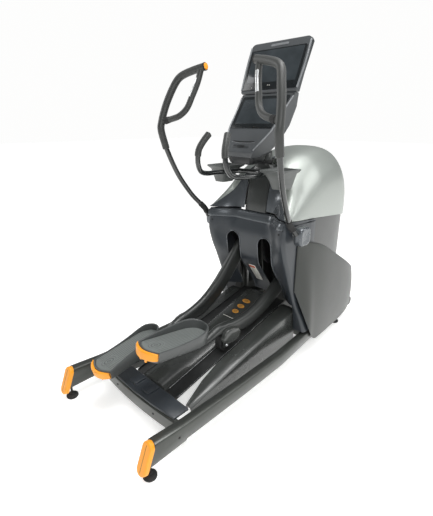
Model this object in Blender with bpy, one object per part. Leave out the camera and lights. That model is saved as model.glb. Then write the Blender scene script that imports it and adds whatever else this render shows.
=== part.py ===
"""Standing elliptical trainer: side rails, sloping roller ramp, pedal arms, swinging handlebars,
a front drive with flywheel inside its housing, and a two-screen console on a mast.

Metres, +Z up.  +Y points from the rear rail caps towards the front housing, +X is the user's
right.  Stations along Y are counted from the line of the rear levelling feet; one empty, the
datum, carries everything and puts the middle of the overall length on the world origin.
"""

import math

import bmesh
import bpy
from mathutils import Matrix, Vector

# Overall stations and heights
REAR_END_Y = -0.0556
FRONT_END_Y = 2.100
RAIL_SPACING_X = 0.366
RAIL_WIDTH = 0.057
FRONT_FOOT_X = 0.283
FRONT_FOOT_Y = 1.811
FRONT_BEAM_Y = 1.815
FRONT_BEAM_WIDTH = 0.060
DATUM_Y = -(REAR_END_Y + FRONT_END_Y) / 2

# Fits
GAP = 0.0003
RUN_CLEAR = 0.0006
SWING_CLEAR = 0.004

# Feet
FOOT_PAD_RADIUS = 0.0325
FOOT_PAD_HEIGHT = 0.018
FOOT_STEM_RADIUS = 0.006
FOOT_STEM_TOP = 0.095

# Ramp and rollers
RAMP_ANGLE = math.radians(13.4)
RAMP_SLOPE = math.tan(RAMP_ANGLE)
ROLLER_RADIUS = 0.045
ROLLER_WIDTH = 0.042
ROLLER_MID_Y = 0.671
ROLLER_MID_Z = 0.242
AXLE_RADIUS = 0.008
FORK_CLEAR = 0.0055
FORK_CHEEK = 0.0065
AXLE_HALF_LENGTH = ROLLER_WIDTH / 2 + FORK_CLEAR + FORK_CHEEK + 0.0005
TRACK_INNER_X = 0.0955
TRACK_OUTER_X = 0.1725
TRACK_START_Y = 0.315
RAMP_END_Y = 1.262
SIDE_COVER_OUTER_X = 0.277
SHEET = 0.003

# Pedal arms, at rest with the right one forward and low, the left one back and high
ARM_X = 0.133
ARM_WIDTH = 0.052
ARM_PITCH = math.radians(9.1)
ARM_STRIDE = 0.035
PEDAL_LENGTH = 0.420
PEDAL_WIDTH = 0.160
PEDAL_X = 0.138
PEDAL_TOE_A = -0.172
PEDAL_HEEL_A = PEDAL_TOE_A - PEDAL_LENGTH
PEDAL_FLOOR_B = 0.064
PAD_TOP_B = 0.128

# Crank and drive
CRANK_Y = 1.390
CRANK_Z = 0.700
CRANK_RADIUS = 0.151
CRANK_ANGLE = math.radians(-45.0)
CRANK_AXLE_RADIUS = 0.0125
CRANK_ARM_INNER_X = 0.050
CRANK_ARM_THICK = 0.030
DRIVE_PULLEY_RADIUS = 0.170
STEP_SMALL_RADIUS = 0.035
STEP_LARGE_RADIUS = 0.090
STEP_Y = 1.660
STEP_Z = 0.800
FLYWHEEL_Y = 1.800
FLYWHEEL_Z = 0.470
FLYWHEEL_RADIUS = 0.140
FLYWHEEL_PULLEY_RADIUS = 0.030
SHAFT_RADIUS = 0.0100
PULLEY_WIDTH = 0.022
BELT_THICK = 0.0025
SIDE_PLATE_X = 0.040
SIDE_PLATE_THICK = 0.006

# Handlebars
HANDLE_PIVOT_Y = 1.121
HANDLE_PIVOT_Z = 0.855
HANDLE_SHAFT_RADIUS = 0.015
ROCKER_X = 0.186
ROCKER_LENGTH = 0.360
ROCKER_LEAN = math.radians(46.0)
ROCKER_THICK = 0.012
HANDLE_TUBE_RADIUS = 0.0150
GRIP_RADIUS = 0.0210

# Transport wheels
WHEEL_RADIUS = 0.036
WHEEL_WIDTH = 0.022
WHEEL_X = 0.265
WHEEL_Y = FRONT_END_Y - 0.036
WHEEL_Z = 0.085

MATERIALS = {
    "orange": ((0.96, 0.36, 0.01), 0.45, 0.0),
    "rail_paint": ((0.045, 0.048, 0.042), 0.35, 0.6),
    "silver": ((0.50, 0.52, 0.50), 0.35, 0.5),
    "dark_gloss": ((0.012, 0.014, 0.013), 0.15, 0.0),
    "cover_grey": ((0.072, 0.076, 0.070), 0.35, 0.0),
    "slate": ((0.026, 0.032, 0.038), 0.40, 0.0),
    "rubber": ((0.012, 0.012, 0.012), 0.75, 0.0),
    "arm_black": ((0.020, 0.022, 0.020), 0.30, 0.3),
    "pad_grey": ((0.27, 0.29, 0.28), 0.60, 0.0),
    "steel": ((0.55, 0.55, 0.55), 0.30, 1.0),
    "iron": ((0.10, 0.10, 0.10), 0.50, 0.9),
    "console_grey": ((0.09, 0.095, 0.10), 0.45, 0.0),
    "screen": ((0.008, 0.010, 0.011), 0.08, 0.0),
    "belt": ((0.02, 0.02, 0.02), 0.80, 0.0),
}


def clear_scene():
    for obj in list(bpy.data.objects):
        bpy.data.objects.remove(obj, do_unlink=True)


def make_materials():
    made = {}
    for name, (colour, roughness, metallic) in MATERIALS.items():
        material = bpy.data.materials.new(name)
        material.use_nodes = True
        shader = material.node_tree.nodes["Principled BSDF"]
        shader.inputs["Base Color"].default_value = (*colour, 1.0)
        shader.inputs["Roughness"].default_value = roughness
        shader.inputs["Metallic"].default_value = metallic
        made[name] = material
    return made


def empty(name, location, parent=None, turn_x=0.0):
    obj = bpy.data.objects.new(name, None)
    bpy.context.scene.collection.objects.link(obj)
    obj.parent = parent
    obj.location = location
    obj.rotation_euler = (turn_x, 0.0, 0.0)
    return obj


clear_scene()
PAINT = make_materials()
DATUM = empty("datum", (0.0, DATUM_Y, 0.0))


def add_object(name, mesh, material, parent=None, location=(0, 0, 0), smooth=35.0):
    obj = bpy.data.objects.new(name, mesh)
    bpy.context.scene.collection.objects.link(obj)
    obj.parent = parent or DATUM
    obj.location = location
    mesh.materials.append(PAINT[material])
    mesh.shade_smooth()
    mesh.set_sharp_from_angle(angle=math.radians(smooth))
    return obj


def finish_mesh(name, bm, material, parent=None, location=(0, 0, 0)):
    bmesh.ops.recalc_face_normals(bm, faces=bm.faces)
    mesh = bpy.data.meshes.new(name)
    bm.to_mesh(mesh)
    bm.free()
    return add_object(name, mesh, material, parent, location)


def round_edges(obj, width, segments=2, angle=35.0):
    bevel = obj.modifiers.new("round_edges", "BEVEL")
    bevel.width = width
    bevel.segments = segments
    bevel.limit_method = "ANGLE"
    bevel.angle_limit = math.radians(angle)
    return obj


def cut(obj, cutter, operation="DIFFERENCE"):
    """Cuts obj with cutter (or joins them) when the part is built; the cutter isn't a part."""
    cutter.hide_render = True
    cutter.display_type = "WIRE"
    boolean = obj.modifiers.new(f"{operation.lower()}_{cutter.name}", "BOOLEAN")
    boolean.operation = operation
    boolean.object = cutter
    return obj


def box(name, low, high, material, parent=None, bevel=0.0):
    bm = bmesh.new()
    bmesh.ops.create_cube(bm, size=1.0)
    size = Vector(high) - Vector(low)
    middle = (Vector(high) + Vector(low)) / 2
    bmesh.ops.scale(bm, vec=size, verts=bm.verts)
    bmesh.ops.translate(bm, vec=middle, verts=bm.verts)
    obj = finish_mesh(name, bm, material, parent)
    if bevel:
        round_edges(obj, bevel)
    return obj


def rod_x(name, x0, x1, centre, radius, material, parent=None, sides=14, bevel=0.0):
    """A round bar along X between x0 and x1, centred on (y, z)."""
    bm = bmesh.new()
    bmesh.ops.create_cone(
        bm, cap_ends=True, segments=sides, radius1=radius, radius2=radius, depth=x1 - x0
    )
    bmesh.ops.rotate(bm, matrix=Matrix.Rotation(math.pi / 2, 3, "Y"), verts=bm.verts)
    bmesh.ops.translate(bm, vec=((x0 + x1) / 2, *centre), verts=bm.verts)
    obj = finish_mesh(name, bm, material, parent)
    if bevel:
        round_edges(obj, bevel, 1)
    return obj


def turned_x(name, profile, centre, material, parent=None, sides=24):
    """A turned piece about an X axis.  profile is (x, radius) from one end to the other; a closed
    ring when its first and last points are the same."""
    bm = bmesh.new()
    ring_shape = profile[0] == profile[-1]
    points = profile[:-1] if ring_shape else profile
    rows = []
    for x, radius in points:
        row = []
        for i in range(sides):
            turn = 2 * math.pi * i / sides
            y = centre[0] + radius * math.cos(turn)
            z = centre[1] + radius * math.sin(turn)
            row.append(bm.verts.new((x, y, z)))
        rows.append(row)
    bridge_rows(bm, rows, closed_around=True, closed_along=ring_shape)
    if not ring_shape:
        bm.faces.new(rows[0])
        bm.faces.new(rows[-1])
    return finish_mesh(name, bm, material, parent)


def bridge_rows(bm, rows, closed_around, closed_along=False):
    count = len(rows)
    for i in range(count if closed_along else count - 1):
        here = rows[i]
        there = rows[(i + 1) % count]
        width = len(here)
        for j in range(width if closed_around else width - 1):
            k = (j + 1) % width
            bm.faces.new((here[j], here[k], there[k], there[j]))


def loft(name, rings, material, parent=None, bevel=0.0):
    """A solid through a row of closed outlines with the same number of points."""
    bm = bmesh.new()
    rows = [[bm.verts.new(point) for point in ring] for ring in rings]
    bridge_rows(bm, rows, closed_around=True)
    bm.faces.new(rows[0])
    bm.faces.new(rows[-1])
    obj = finish_mesh(name, bm, material, parent)
    if bevel:
        round_edges(obj, bevel)
    return obj


def skin(name, rows, thickness, material, parent=None, outward=Vector((0, 0, 1))):
    """A moulded sheet: a grid of points thickened inwards, away from its outer face."""
    bm = bmesh.new()
    grid = [[bm.verts.new(point) for point in row] for row in rows]
    bridge_rows(bm, grid, closed_around=False)
    bm.normal_update()
    total = sum((face.normal * face.calc_area() for face in bm.faces), Vector())
    if total.dot(outward) < 0:
        bmesh.ops.reverse_faces(bm, faces=bm.faces)
    mesh = bpy.data.meshes.new(name)
    bm.to_mesh(mesh)
    bm.free()
    obj = add_object(name, mesh, material, parent)
    wall = obj.modifiers.new("wall", "SOLIDIFY")
    wall.thickness = thickness
    wall.offset = -1.0
    wall.use_even_offset = True
    wall.thickness_clamp = 1.0
    return obj


def plate_x(name, outline, x0, x1, material, parent=None, bevel=0.0):
    """A flat plate of the given (y, z) outline between two x values."""
    bm = bmesh.new()
    near = [bm.verts.new((x0, y, z)) for y, z in outline]
    far = [bm.verts.new((x1, y, z)) for y, z in outline]
    bridge_rows(bm, [near, far], closed_around=True)
    bm.faces.new(near)
    bm.faces.new(far)
    obj = finish_mesh(name, bm, material, parent)
    if bevel:
        round_edges(obj, bevel)
    return obj


def profile_body(name, profile, material, parent=None, bevel=0.0, centre_x=0.0):
    """A body of one side outline, (y, z, half width) at each corner, the same on both sides."""
    bm = bmesh.new()
    right = [bm.verts.new((centre_x + w, y, z)) for y, z, w in profile]
    left = [bm.verts.new((centre_x - w, y, z)) for y, z, w in profile]
    bridge_rows(bm, [right, left], closed_around=True)
    ends = [bm.faces.new(right), bm.faces.new(left)]
    bmesh.ops.recalc_face_normals(bm, faces=bm.faces)
    bmesh.ops.triangulate(bm, faces=ends, ngon_method="EAR_CLIP")
    obj = finish_mesh(name, bm, material, parent)
    if bevel:
        round_edges(obj, bevel)
    return obj


def smooth_path(points, step):
    """Points about one step apart on a smooth curve through the given points."""
    points = [Vector(point) for point in points]
    before = points[0] * 2 - points[1]
    after = points[-1] * 2 - points[-2]
    whole = [before, *points, after]
    path = [points[0]]
    for a, b, c, d in zip(whole, whole[1:], whole[2:], whole[3:]):
        count = max(2, round((c - b).length / step))
        for i in range(1, count + 1):
            t = i / count
            path.append(
                b * (1 + t * t * (2.0 * t - 3.0))
                + (c - a) * 0.5 * t * (1 - t) ** 2
                + c * t * t * (3.0 - 2.0 * t)
                - (d - b) * 0.5 * t * t * (1 - t)
            )
    return path


def tube(name, points, radius, material, parent=None, step=0.05, sides=2):
    """A round tube along a smooth path, closed at both ends."""
    curve = bpy.data.curves.new(name, "CURVE")
    curve.dimensions = "3D"
    curve.bevel_depth = radius
    curve.bevel_resolution = sides
    curve.use_fill_caps = True
    path = smooth_path(points, step)
    spline = curve.splines.new("POLY")
    spline.points.add(len(path) - 1)
    for point, place in zip(spline.points, path):
        point.co = (*place, 1.0)
    curve.materials.append(PAINT[material])
    obj = bpy.data.objects.new(name, curve)
    bpy.context.scene.collection.objects.link(obj)
    obj.parent = parent or DATUM
    return obj


def rounded_rect(width, height, corner, steps=2):
    """(u, v) points of a rounded rectangle about its middle, anticlockwise."""
    points = []
    centres = ((1, 1, 0.0), (-1, 1, 0.5), (-1, -1, 1.0), (1, -1, 1.5))
    for su, sv, start in centres:
        for i in range(steps + 1):
            turn = math.pi * (start + 0.5 * i / steps)
            u = su * (width / 2 - corner) + corner * math.cos(turn)
            v = sv * (height / 2 - corner) + corner * math.sin(turn)
            points.append((u, v))
    return points


def stadium(length, width, steps=6):
    """(u, v) points of a slot shape, its long way along v."""
    points = []
    reach = (length - width) / 2
    for i in range(steps + 1):
        turn = math.pi * i / steps
        points.append((width / 2 * math.cos(turn), reach + width / 2 * math.sin(turn)))
    for i in range(steps + 1):
        turn = math.pi + math.pi * i / steps
        points.append((width / 2 * math.cos(turn), -reach + width / 2 * math.sin(turn)))
    return points


def arc(centre, radius, start, end, steps):
    """(y, z) points on an arc, angles in degrees anticlockwise from +Y."""
    points = []
    for i in range(steps + 1):
        turn = math.radians(start + (end - start) * i / steps)
        points.append((centre[0] + radius * math.cos(turn), centre[1] + radius * math.sin(turn)))
    return points


def between(stations, at):
    """Straight-line value of a table of (station, value...) rows at one station."""
    if at <= stations[0][0]:
        return stations[0][1:]
    for low, high in zip(stations, stations[1:]):
        if at <= high[0]:
            t = (at - low[0]) / (high[0] - low[0])
            return tuple(a + (b - a) * t for a, b in zip(low[1:], high[1:]))
    return stations[-1][1:]


SIDES = (("right", 1), ("left", -1))


# ---------------------------------------------------------------- base frame

# Station y, middle x, underside z, top z, width of the side rail
RAIL_STATIONS = (
    (0.000, RAIL_SPACING_X, 0.072, 0.185, RAIL_WIDTH),
    (0.188, RAIL_SPACING_X, 0.074, 0.172, RAIL_WIDTH),
    (0.200, RAIL_SPACING_X, 0.082, 0.171, RAIL_WIDTH),
    (0.600, RAIL_SPACING_X, 0.083, 0.166, RAIL_WIDTH),
    (0.950, 0.364, 0.090, 0.168, RAIL_WIDTH),
    (1.240, 0.345, 0.100, 0.172, 0.054),
    (1.500, 0.320, 0.090, 0.165, 0.046),
    (1.870, FRONT_FOOT_X, 0.062, 0.125, 0.046),
)
CAP_LEAN = 0.39
CAP_THICK = 0.024
CAP_MID_Z = 0.1135


def side_rail(side, sign):
    rings = []
    for y, x, low, high, width in RAIL_STATIONS:
        lean = CAP_LEAN if y == 0.0 else 0.0
        ring = []
        for u, v in rounded_rect(width, high - low, 0.014):
            ring.append((sign * (x + u), y + lean * v, (low + high) / 2 + v))
        rings.append(ring)
    rail = loft(f"side_rail_{side}", rings, "rail_paint")
    for x, y in ((RAIL_SPACING_X, 0.0), (FRONT_FOOT_X, FRONT_FOOT_Y)):
        hole = bored_hole(f"foot_hole_{side}_{y:.0f}", sign * x, y)
        cut(rail, hole)
    return rail


def bored_hole(name, x, y):
    bm = bmesh.new()
    radius = FOOT_STEM_RADIUS + 4 * RUN_CLEAR
    bmesh.ops.create_cone(bm, cap_ends=True, segments=12, radius1=radius, radius2=radius, depth=0.09)
    top = FOOT_STEM_TOP + 0.002
    bmesh.ops.translate(bm, vec=(x, y, top - 0.045), verts=bm.verts)
    return finish_mesh(name, bm, "steel")


def rail_end_cap(side, sign):
    """Slanted rounded pad closing the rear end of a rail."""
    length = 0.158
    outline = stadium(length, RAIL_WIDTH + 0.004)
    lean = math.atan(CAP_LEAN)
    along = Vector((0, math.sin(lean), math.cos(lean)))
    out = Vector((0, -math.cos(lean), math.sin(lean)))
    rail_mid_z = (RAIL_STATIONS[0][2] + RAIL_STATIONS[0][3]) / 2
    face = Vector((sign * RAIL_SPACING_X, CAP_LEAN * (CAP_MID_Z - rail_mid_z), CAP_MID_Z))
    middle = face + out * (CAP_THICK / 2 + GAP)
    rings = []
    for depth, shrink in ((-CAP_THICK / 2, 1.0), (0.004, 1.0), (CAP_THICK / 2, 0.86)):
        ring = []
        for u, v in outline:
            across = Vector((u * shrink, 0, 0))
            ring.append(middle + across + along * (v * (1 - (1 - shrink) * 0.4)) + out * depth)
        rings.append(ring)
    return loft(f"rail_end_cap_{side}", rings, "orange")


def levelling_foot(name, x, y):
    """Round rubber-soled pad on a threaded stem."""
    bm = bmesh.new()
    profile = (
        (0.0, FOOT_PAD_RADIUS - 0.003),
        (0.004, FOOT_PAD_RADIUS),
        (FOOT_PAD_HEIGHT - 0.006, FOOT_PAD_RADIUS),
        (FOOT_PAD_HEIGHT, FOOT_PAD_RADIUS - 0.010),
        (FOOT_PAD_HEIGHT, 0.013),
        (FOOT_PAD_HEIGHT + 0.012, 0.012),
        (FOOT_PAD_HEIGHT + 0.012, FOOT_STEM_RADIUS),
        (FOOT_STEM_TOP, FOOT_STEM_RADIUS),
    )
    sides = 16
    rows = []
    for z, radius in profile:
        ring = []
        for i in range(sides):
            turn = 2 * math.pi * i / sides
            ring.append(bm.verts.new((radius * math.cos(turn), radius * math.sin(turn), z)))
        rows.append(ring)
    bridge_rows(bm, rows, closed_around=True)
    bm.faces.new(rows[0])
    bm.faces.new(rows[-1])
    return finish_mesh(name, bm, "rubber", None, (x, y, 0.0))


def rear_cross_member():
    """Bowed beam joining the rails, its middle towards the rear."""
    half = RAIL_SPACING_X - RAIL_WIDTH / 2 - GAP
    rings = []
    for i in range(9):
        x = -half + 2 * half * i / 8
        y = 0.205 - 0.020 * (1 - (x / half) ** 2)
        ring = [(x, y + u, 0.095 + v) for u, v in rounded_rect(0.030, 0.076, 0.006, 1)]
        rings.append(ring)
    return loft("rear_cross_member", rings, "rail_paint")


def rear_cover():
    """Moulded cap over the cross member, with a raised block behind each track."""
    half = 0.300
    bottom = 0.133 + GAP
    rear = [(x, 0.196 - 0.020 * (1 - (x / half) ** 2)) for x in (-0.3, -0.15, 0.0, 0.15, 0.3)]
    front = [(half, 0.288), (-half, 0.288)]
    rings = []
    for z, inset in ((bottom, 0.0), (bottom + 0.008, 0.0), (bottom + 0.012, 0.006)):
        ring = []
        for x, y in rear + front:
            mid = Vector((0.0, 0.24))
            point = Vector((x, y))
            step = (mid - point).normalized() * inset
            ring.append((x + step.x, y + step.y, z))
        rings.append(ring)
    cover = loft("rear_cover", rings, "slate")
    for side, sign in SIDES:
        low = min(sign * 0.030, sign * 0.085)
        high = max(sign * 0.030, sign * 0.085)
        pad_low = (low, 0.205, bottom + 0.004)
        pad_high = (high, 0.280, 0.156)
        pad = box(f"rear_pad_{side}", pad_low, pad_high, "slate", bevel=0.004)
        cut(cover, pad, "UNION")
    return cover


def base_frame():
    """Welded spine with the front cross member and the brackets of the transport wheels."""
    inner = FRONT_FOOT_X - 0.026
    front = FRONT_BEAM_Y + FRONT_BEAM_WIDTH / 2
    rear = FRONT_BEAM_Y - FRONT_BEAM_WIDTH / 2
    spine = box("base_frame", (-0.040, 0.2203, 0.045), (0.040, FRONT_BEAM_Y, 0.0950), "rail_paint")
    beam = box("front_beam", (-inner, rear, 0.042), (inner, front, 0.105), "rail_paint")
    cut(spine, beam, "UNION")
    for side, sign in SIDES:
        cut(spine, wheel_bracket(side, sign), "UNION")
    return spine


# ---------------------------------------------------------------- ramp


def track_z(y):
    """Height of the track's running surface at station y, just under the roller."""
    drop = ROLLER_RADIUS / math.cos(RAMP_ANGLE) + GAP
    return ROLLER_MID_Z - drop + (y - ROLLER_MID_Y) * RAMP_SLOPE


def ramp_edge_z(y):
    """Height of the ramp covers along the edge of the track."""
    return 0.206 + RAMP_SLOPE * (y - 0.727)


def ramp_center_cover():
    """Crowned lid between the two tracks."""
    half = TRACK_INNER_X - 0.001
    rings = []
    rises = (
        (0.292, 0.014),
        (0.302, 0.028),
        (0.450, 0.020),
        (0.650, 0.014),
        (0.970, 0.027),
        (1.185, 0.042),
        (1.209, 0.034),
    )
    for y, rise in rises:
        edge = ramp_edge_z(y) + rise
        top = []
        for i in range(7):
            x = -half + 2 * half * i / 6
            top.append((x, y, edge + 0.016 * (1 - (x / half) ** 4)))
        low = max(edge - 0.028, 0.0955)
        ring = [(-half, y, low), *top, (half, y, low)]
        rings.append(ring)
    return loft("ramp_center_cover", rings, "cover_grey")


def ramp_side_cover(side, sign):
    """Outer lid of the ramp with a skirt down to the floor side, narrow at its rear end."""
    inner_x = TRACK_OUTER_X + 0.001
    rows = []
    for y, inset in ((0.322, 0.064), (0.480, 0.020), (0.620, 0.0), (0.900, 0.0), (1.210, 0.0), (1.240, 0.0)):
        inner = inner_x + inset
        edge = ramp_edge_z(y) - (0.006 if y == 1.240 else 0.0)
        outer = edge - 0.012
        low = 0.052 if y > 0.6 else 0.070
        row = [
            (sign * inner, y, max(low, edge - 0.060)),
            (sign * inner, y, edge - 0.004),
            (sign * (inner + 0.004), y, edge),
            (sign * (inner + SIDE_COVER_OUTER_X) / 2, y, edge + 0.001),
            (sign * (SIDE_COVER_OUTER_X - 0.012), y, outer + 0.008),
            (sign * SIDE_COVER_OUTER_X, y, outer),
            (sign * SIDE_COVER_OUTER_X, y, low),
        ]
        rows.append(row)
    return skin(f"ramp_side_cover_{side}", rows, SHEET, "cover_grey")


def roller_track(side, sign):
    """Shallow channel the roller runs in."""
    rings = []
    for y in (TRACK_START_Y, RAMP_END_Y):
        z = track_z(y)
        outline = (
            (TRACK_INNER_X, z - 0.010),
            (TRACK_INNER_X, z + 0.006),
            (TRACK_INNER_X + 0.003, z + 0.006),
            (TRACK_INNER_X + 0.003, z),
            (TRACK_OUTER_X - 0.003, z),
            (TRACK_OUTER_X - 0.003, z + 0.006),
            (TRACK_OUTER_X, z + 0.006),
            (TRACK_OUTER_X, z - 0.010),
        )
        rings.append([(sign * x, y, height) for x, height in outline])
    return loft(f"roller_track_{side}", rings, "arm_black")


# ---------------------------------------------------------------- pedal arms

# Along the arm from the roller axle: top edge and depth of the arm's section
ARM_TOP = (
    (-0.400, 0.058, 0.030),
    (-0.200, 0.060, 0.036),
    (-0.120, 0.090, 0.050),
    (-0.060, 0.118, 0.062),
    (0.000, 0.127, 0.068),
    (0.060, 0.129, 0.072),
    (0.120, 0.136, 0.092),
    (0.200, 0.156, 0.100),
    (0.300, 0.205, 0.105),
    (0.400, 0.274, 0.108),
    (0.500, 0.354, 0.108),
    (0.600, 0.428, 0.104),
    (0.680, 0.480, 0.090),
    (0.760, 0.505, 0.075),
)


def joint_empties(side, sign):
    """Carriage empty on the roller axle and arm empty pitched about it, for one side."""
    y = ROLLER_MID_Y + sign * ARM_STRIDE * math.cos(RAMP_ANGLE)
    z = ROLLER_MID_Z + sign * ARM_STRIDE * math.sin(RAMP_ANGLE)
    carriage = empty(f"{side}_carriage", (0.0, y, z), DATUM)
    arm = empty(f"{side}_arm", (0.0, 0.0, 0.0), carriage, -sign * ARM_PITCH)
    return carriage, arm


def pedal_arm(side, sign, arm):
    """Tall oval beam from under the pedal, over the roller and up to the crank."""
    rings = []
    for a, top, depth in ARM_TOP:
        slope = math.atan2(
            between(ARM_TOP, a + 0.03)[0] - between(ARM_TOP, a - 0.03)[0],
            0.06 if -0.4 < a < 0.76 else 0.03,
        )
        ring = []
        for u, v in rounded_rect(ARM_WIDTH, depth, min(0.024, depth * 0.45), 3):
            lower = v - depth / 2
            ring.append((sign * ARM_X + u, a - lower * math.sin(slope), top + lower * math.cos(slope)))
        rings.append(ring)
    beam = loft(f"pedal_arm_{side}", rings, "arm_black", arm)
    cut(beam, roller_fork(side, sign, arm), "UNION")
    return cut(beam, roller_cover(side, sign, arm), "UNION")


def roller_fork(side, sign, arm):
    """Two cheeks and a bridge under the arm, with the roller's axle through them."""
    inner = ROLLER_WIDTH / 2 + FORK_CLEAR
    outer = inner + FORK_CHEEK
    fork = box(
        f"roller_fork_{side}",
        (sign * ARM_X - outer, -0.030, -2 * AXLE_RADIUS),
        (sign * ARM_X + outer, 0.030, ROLLER_RADIUS + 0.031),
        "arm_black",
        arm,
    )
    slot = box(
        f"fork_slot_{side}",
        (sign * ARM_X - inner, -ROLLER_RADIUS - 0.015, -0.040),
        (sign * ARM_X + inner, ROLLER_RADIUS + 0.015, ROLLER_RADIUS + 0.005),
        "arm_black",
        arm,
    )
    cut(fork, slot)
    x0 = sign * ARM_X - 0.05
    x1 = sign * ARM_X + 0.05
    cut(fork, rod_x(f"fork_bore_{side}", x0, x1, (0, 0), AXLE_RADIUS + 2 * RUN_CLEAR, "steel", arm))
    return fork


def roller_cover(side, sign, arm):
    """Small cover outboard of the roller."""
    low_edge = [(-0.045, 0.030), (-0.030, 0.014), (0.075, 0.020)]
    high_edge = [(0.098, 0.050), (0.085, 0.098), (0.000, 0.106), (-0.040, 0.080)]
    outline = low_edge + high_edge
    x0 = sign * (ARM_X + 0.0240)
    x1 = sign * (ARM_X + 0.052)
    return plate_x(f"roller_cover_{side}", outline, min(x0, x1), max(x0, x1), "cover_grey", arm, bevel=0.006)


def roller_and_axle(side, sign, carriage):
    x0 = sign * ARM_X - ROLLER_WIDTH / 2
    x1 = sign * ARM_X + ROLLER_WIDTH / 2
    bore = AXLE_RADIUS + RUN_CLEAR
    tread = 0.004
    profile = [(x0, bore), (x0, ROLLER_RADIUS - tread), (x0 + tread, ROLLER_RADIUS)]
    profile += [(x1 - tread, ROLLER_RADIUS)]
    profile += [(x1, ROLLER_RADIUS - tread), (x1, bore), (x0, bore)]
    turned_x(f"roller_{side}", profile, (0, 0), "rubber", carriage)
    axle_low = sign * ARM_X - AXLE_HALF_LENGTH
    axle_high = sign * ARM_X + AXLE_HALF_LENGTH
    rod_x(f"roller_axle_{side}", axle_low, axle_high, (0, 0), AXLE_RADIUS, "steel", carriage)


def pedal_outline(inset, count=10):
    """(across, along) outline of the pedal from the heel corners round the toe; across is +1 on
    the inner side."""
    half = PEDAL_WIDTH / 2 - inset
    heel = PEDAL_HEEL_A + 0.022 + inset
    toe = PEDAL_TOE_A - inset
    straight = toe - 0.120
    points = [(-half, heel + 0.030), (-half, straight)]
    for i in range(1, count):
        turn = math.pi * i / count
        points.append((-half * math.cos(turn), straight + (toe - straight) * math.sin(turn) ** 0.75))
    points += [(half, straight), (half, heel + 0.030)]
    for i in range(1, 4):
        across = half * (1 - 2 * i / 4)
        points.append((across, heel + 0.030 * (across / half) ** 2))
    return points


def rim_height(across, along):
    """Height of the pedal's rim above the pad: high on the inner side and toe, low outside."""
    toe = PEDAL_HEEL_A + PEDAL_LENGTH
    forward = max(0.0, min(1.0, (along - (PEDAL_HEEL_A + 0.06)) / (toe - PEDAL_HEEL_A - 0.10)))
    inner = 0.5 + 0.5 * across / (PEDAL_WIDTH / 2)
    return 0.002 + 0.050 * inner * forward**0.7 + 0.030 * (1 - inner) * forward**3


def pedal_shell(side, sign, arm):
    """Shoe-shaped tray with a high inner and toe rim."""
    outer = pedal_outline(0.0)
    inner = pedal_outline(0.009)
    low = pedal_outline(0.022)
    bm = bmesh.new()

    def row(outline, height):
        made = []
        for across, along in outline:
            z = height(across, along)
            made.append(bm.verts.new((sign * (PEDAL_X - across), along, z)))
        return made

    floor = PAD_TOP_B - 0.010
    rows = [
        row(low, lambda c, a: PEDAL_FLOOR_B),
        row(outer, lambda c, a: PEDAL_FLOOR_B + 0.020),
        row(outer, lambda c, a: PAD_TOP_B + rim_height(c, a)),
        row(inner, lambda c, a: PAD_TOP_B + rim_height(c, a)),
        row(inner, lambda c, a: floor),
    ]
    bridge_rows(bm, rows, closed_around=True)
    bm.faces.new(rows[0])
    bm.faces.new(rows[-1])
    return finish_mesh(f"pedal_shell_{side}", bm, "cover_grey", arm)


def pedal_pad(side, sign, arm):
    """Cushioned tread inside the shell."""
    rings = []
    for inset, z in ((0.0098, PAD_TOP_B - 0.010 + GAP), (0.0098, PAD_TOP_B - 0.002), (0.0125, PAD_TOP_B)):
        rings.append([(sign * (PEDAL_X - c), a, z) for c, a in pedal_outline(inset)])
    return loft(f"pedal_pad_{side}", rings, "pad_grey", arm)


def pedal_bumper(side, sign, arm):
    """Rubber strip round the heel of the pedal."""
    half = PEDAL_WIDTH / 2 + 0.002
    heel = PEDAL_HEEL_A + 0.022
    front = []
    rear = []
    for i in range(9):
        across = -half + 2 * half * i / 8
        curve = 0.030 * (across / half) ** 2
        front.append((across, heel - GAP * 2 + curve))
        rear.append((across, heel - 0.020 + curve * 1.15 + 0.006 * (across / half) ** 6))
    outline = front + rear[::-1]
    rings = []
    low_steps = ((PEDAL_FLOOR_B + 0.022, 0.002), (PEDAL_FLOOR_B + 0.030, 0.0))
    high_steps = ((PAD_TOP_B - 0.004, 0.0), (PAD_TOP_B + 0.002, 0.004))
    for z, grow in low_steps + high_steps:
        ring = []
        for index, (across, along) in enumerate(outline):
            inward = grow if index >= len(front) else 0.0
            ring.append((sign * (PEDAL_X - across), along + inward, z))
        rings.append(ring)
    return loft(f"pedal_bumper_{side}", rings, "orange", arm)


# ---------------------------------------------------------------- drive


def crank_axle():
    reach = CRANK_ARM_INNER_X + CRANK_ARM_THICK
    return rod_x("crank_axle", -reach, reach, (CRANK_Y, CRANK_Z), CRANK_AXLE_RADIUS, "steel")


def crank_arm(side, sign):
    """Forged arm on the axle's end, pointing at its pin."""
    turn = CRANK_ANGLE if sign > 0 else CRANK_ANGLE + math.pi
    outline = []
    for y, z in arc((0, 0), 0.030, 90, 270, 8) + arc((CRANK_RADIUS, 0), 0.022, -90, 90, 8):
        outline.append(
            (
                CRANK_Y + y * math.cos(turn) - z * math.sin(turn),
                CRANK_Z + y * math.sin(turn) + z * math.cos(turn),
            )
        )
    x0 = sign * CRANK_ARM_INNER_X
    x1 = sign * (CRANK_ARM_INNER_X + CRANK_ARM_THICK - 0.004)
    arm = plate_x(f"crank_arm_{side}", outline, min(x0, x1), max(x0, x1), "iron")
    reach = (min(x0, x1) - 0.01, max(x0, x1) + 0.01)
    bore = rod_x(f"crank_bore_{side}", *reach, (CRANK_Y, CRANK_Z), CRANK_AXLE_RADIUS + 2 * RUN_CLEAR, "steel")
    cut(arm, bore)
    return cut(arm, crank_pin(side, sign), "UNION")


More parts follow.
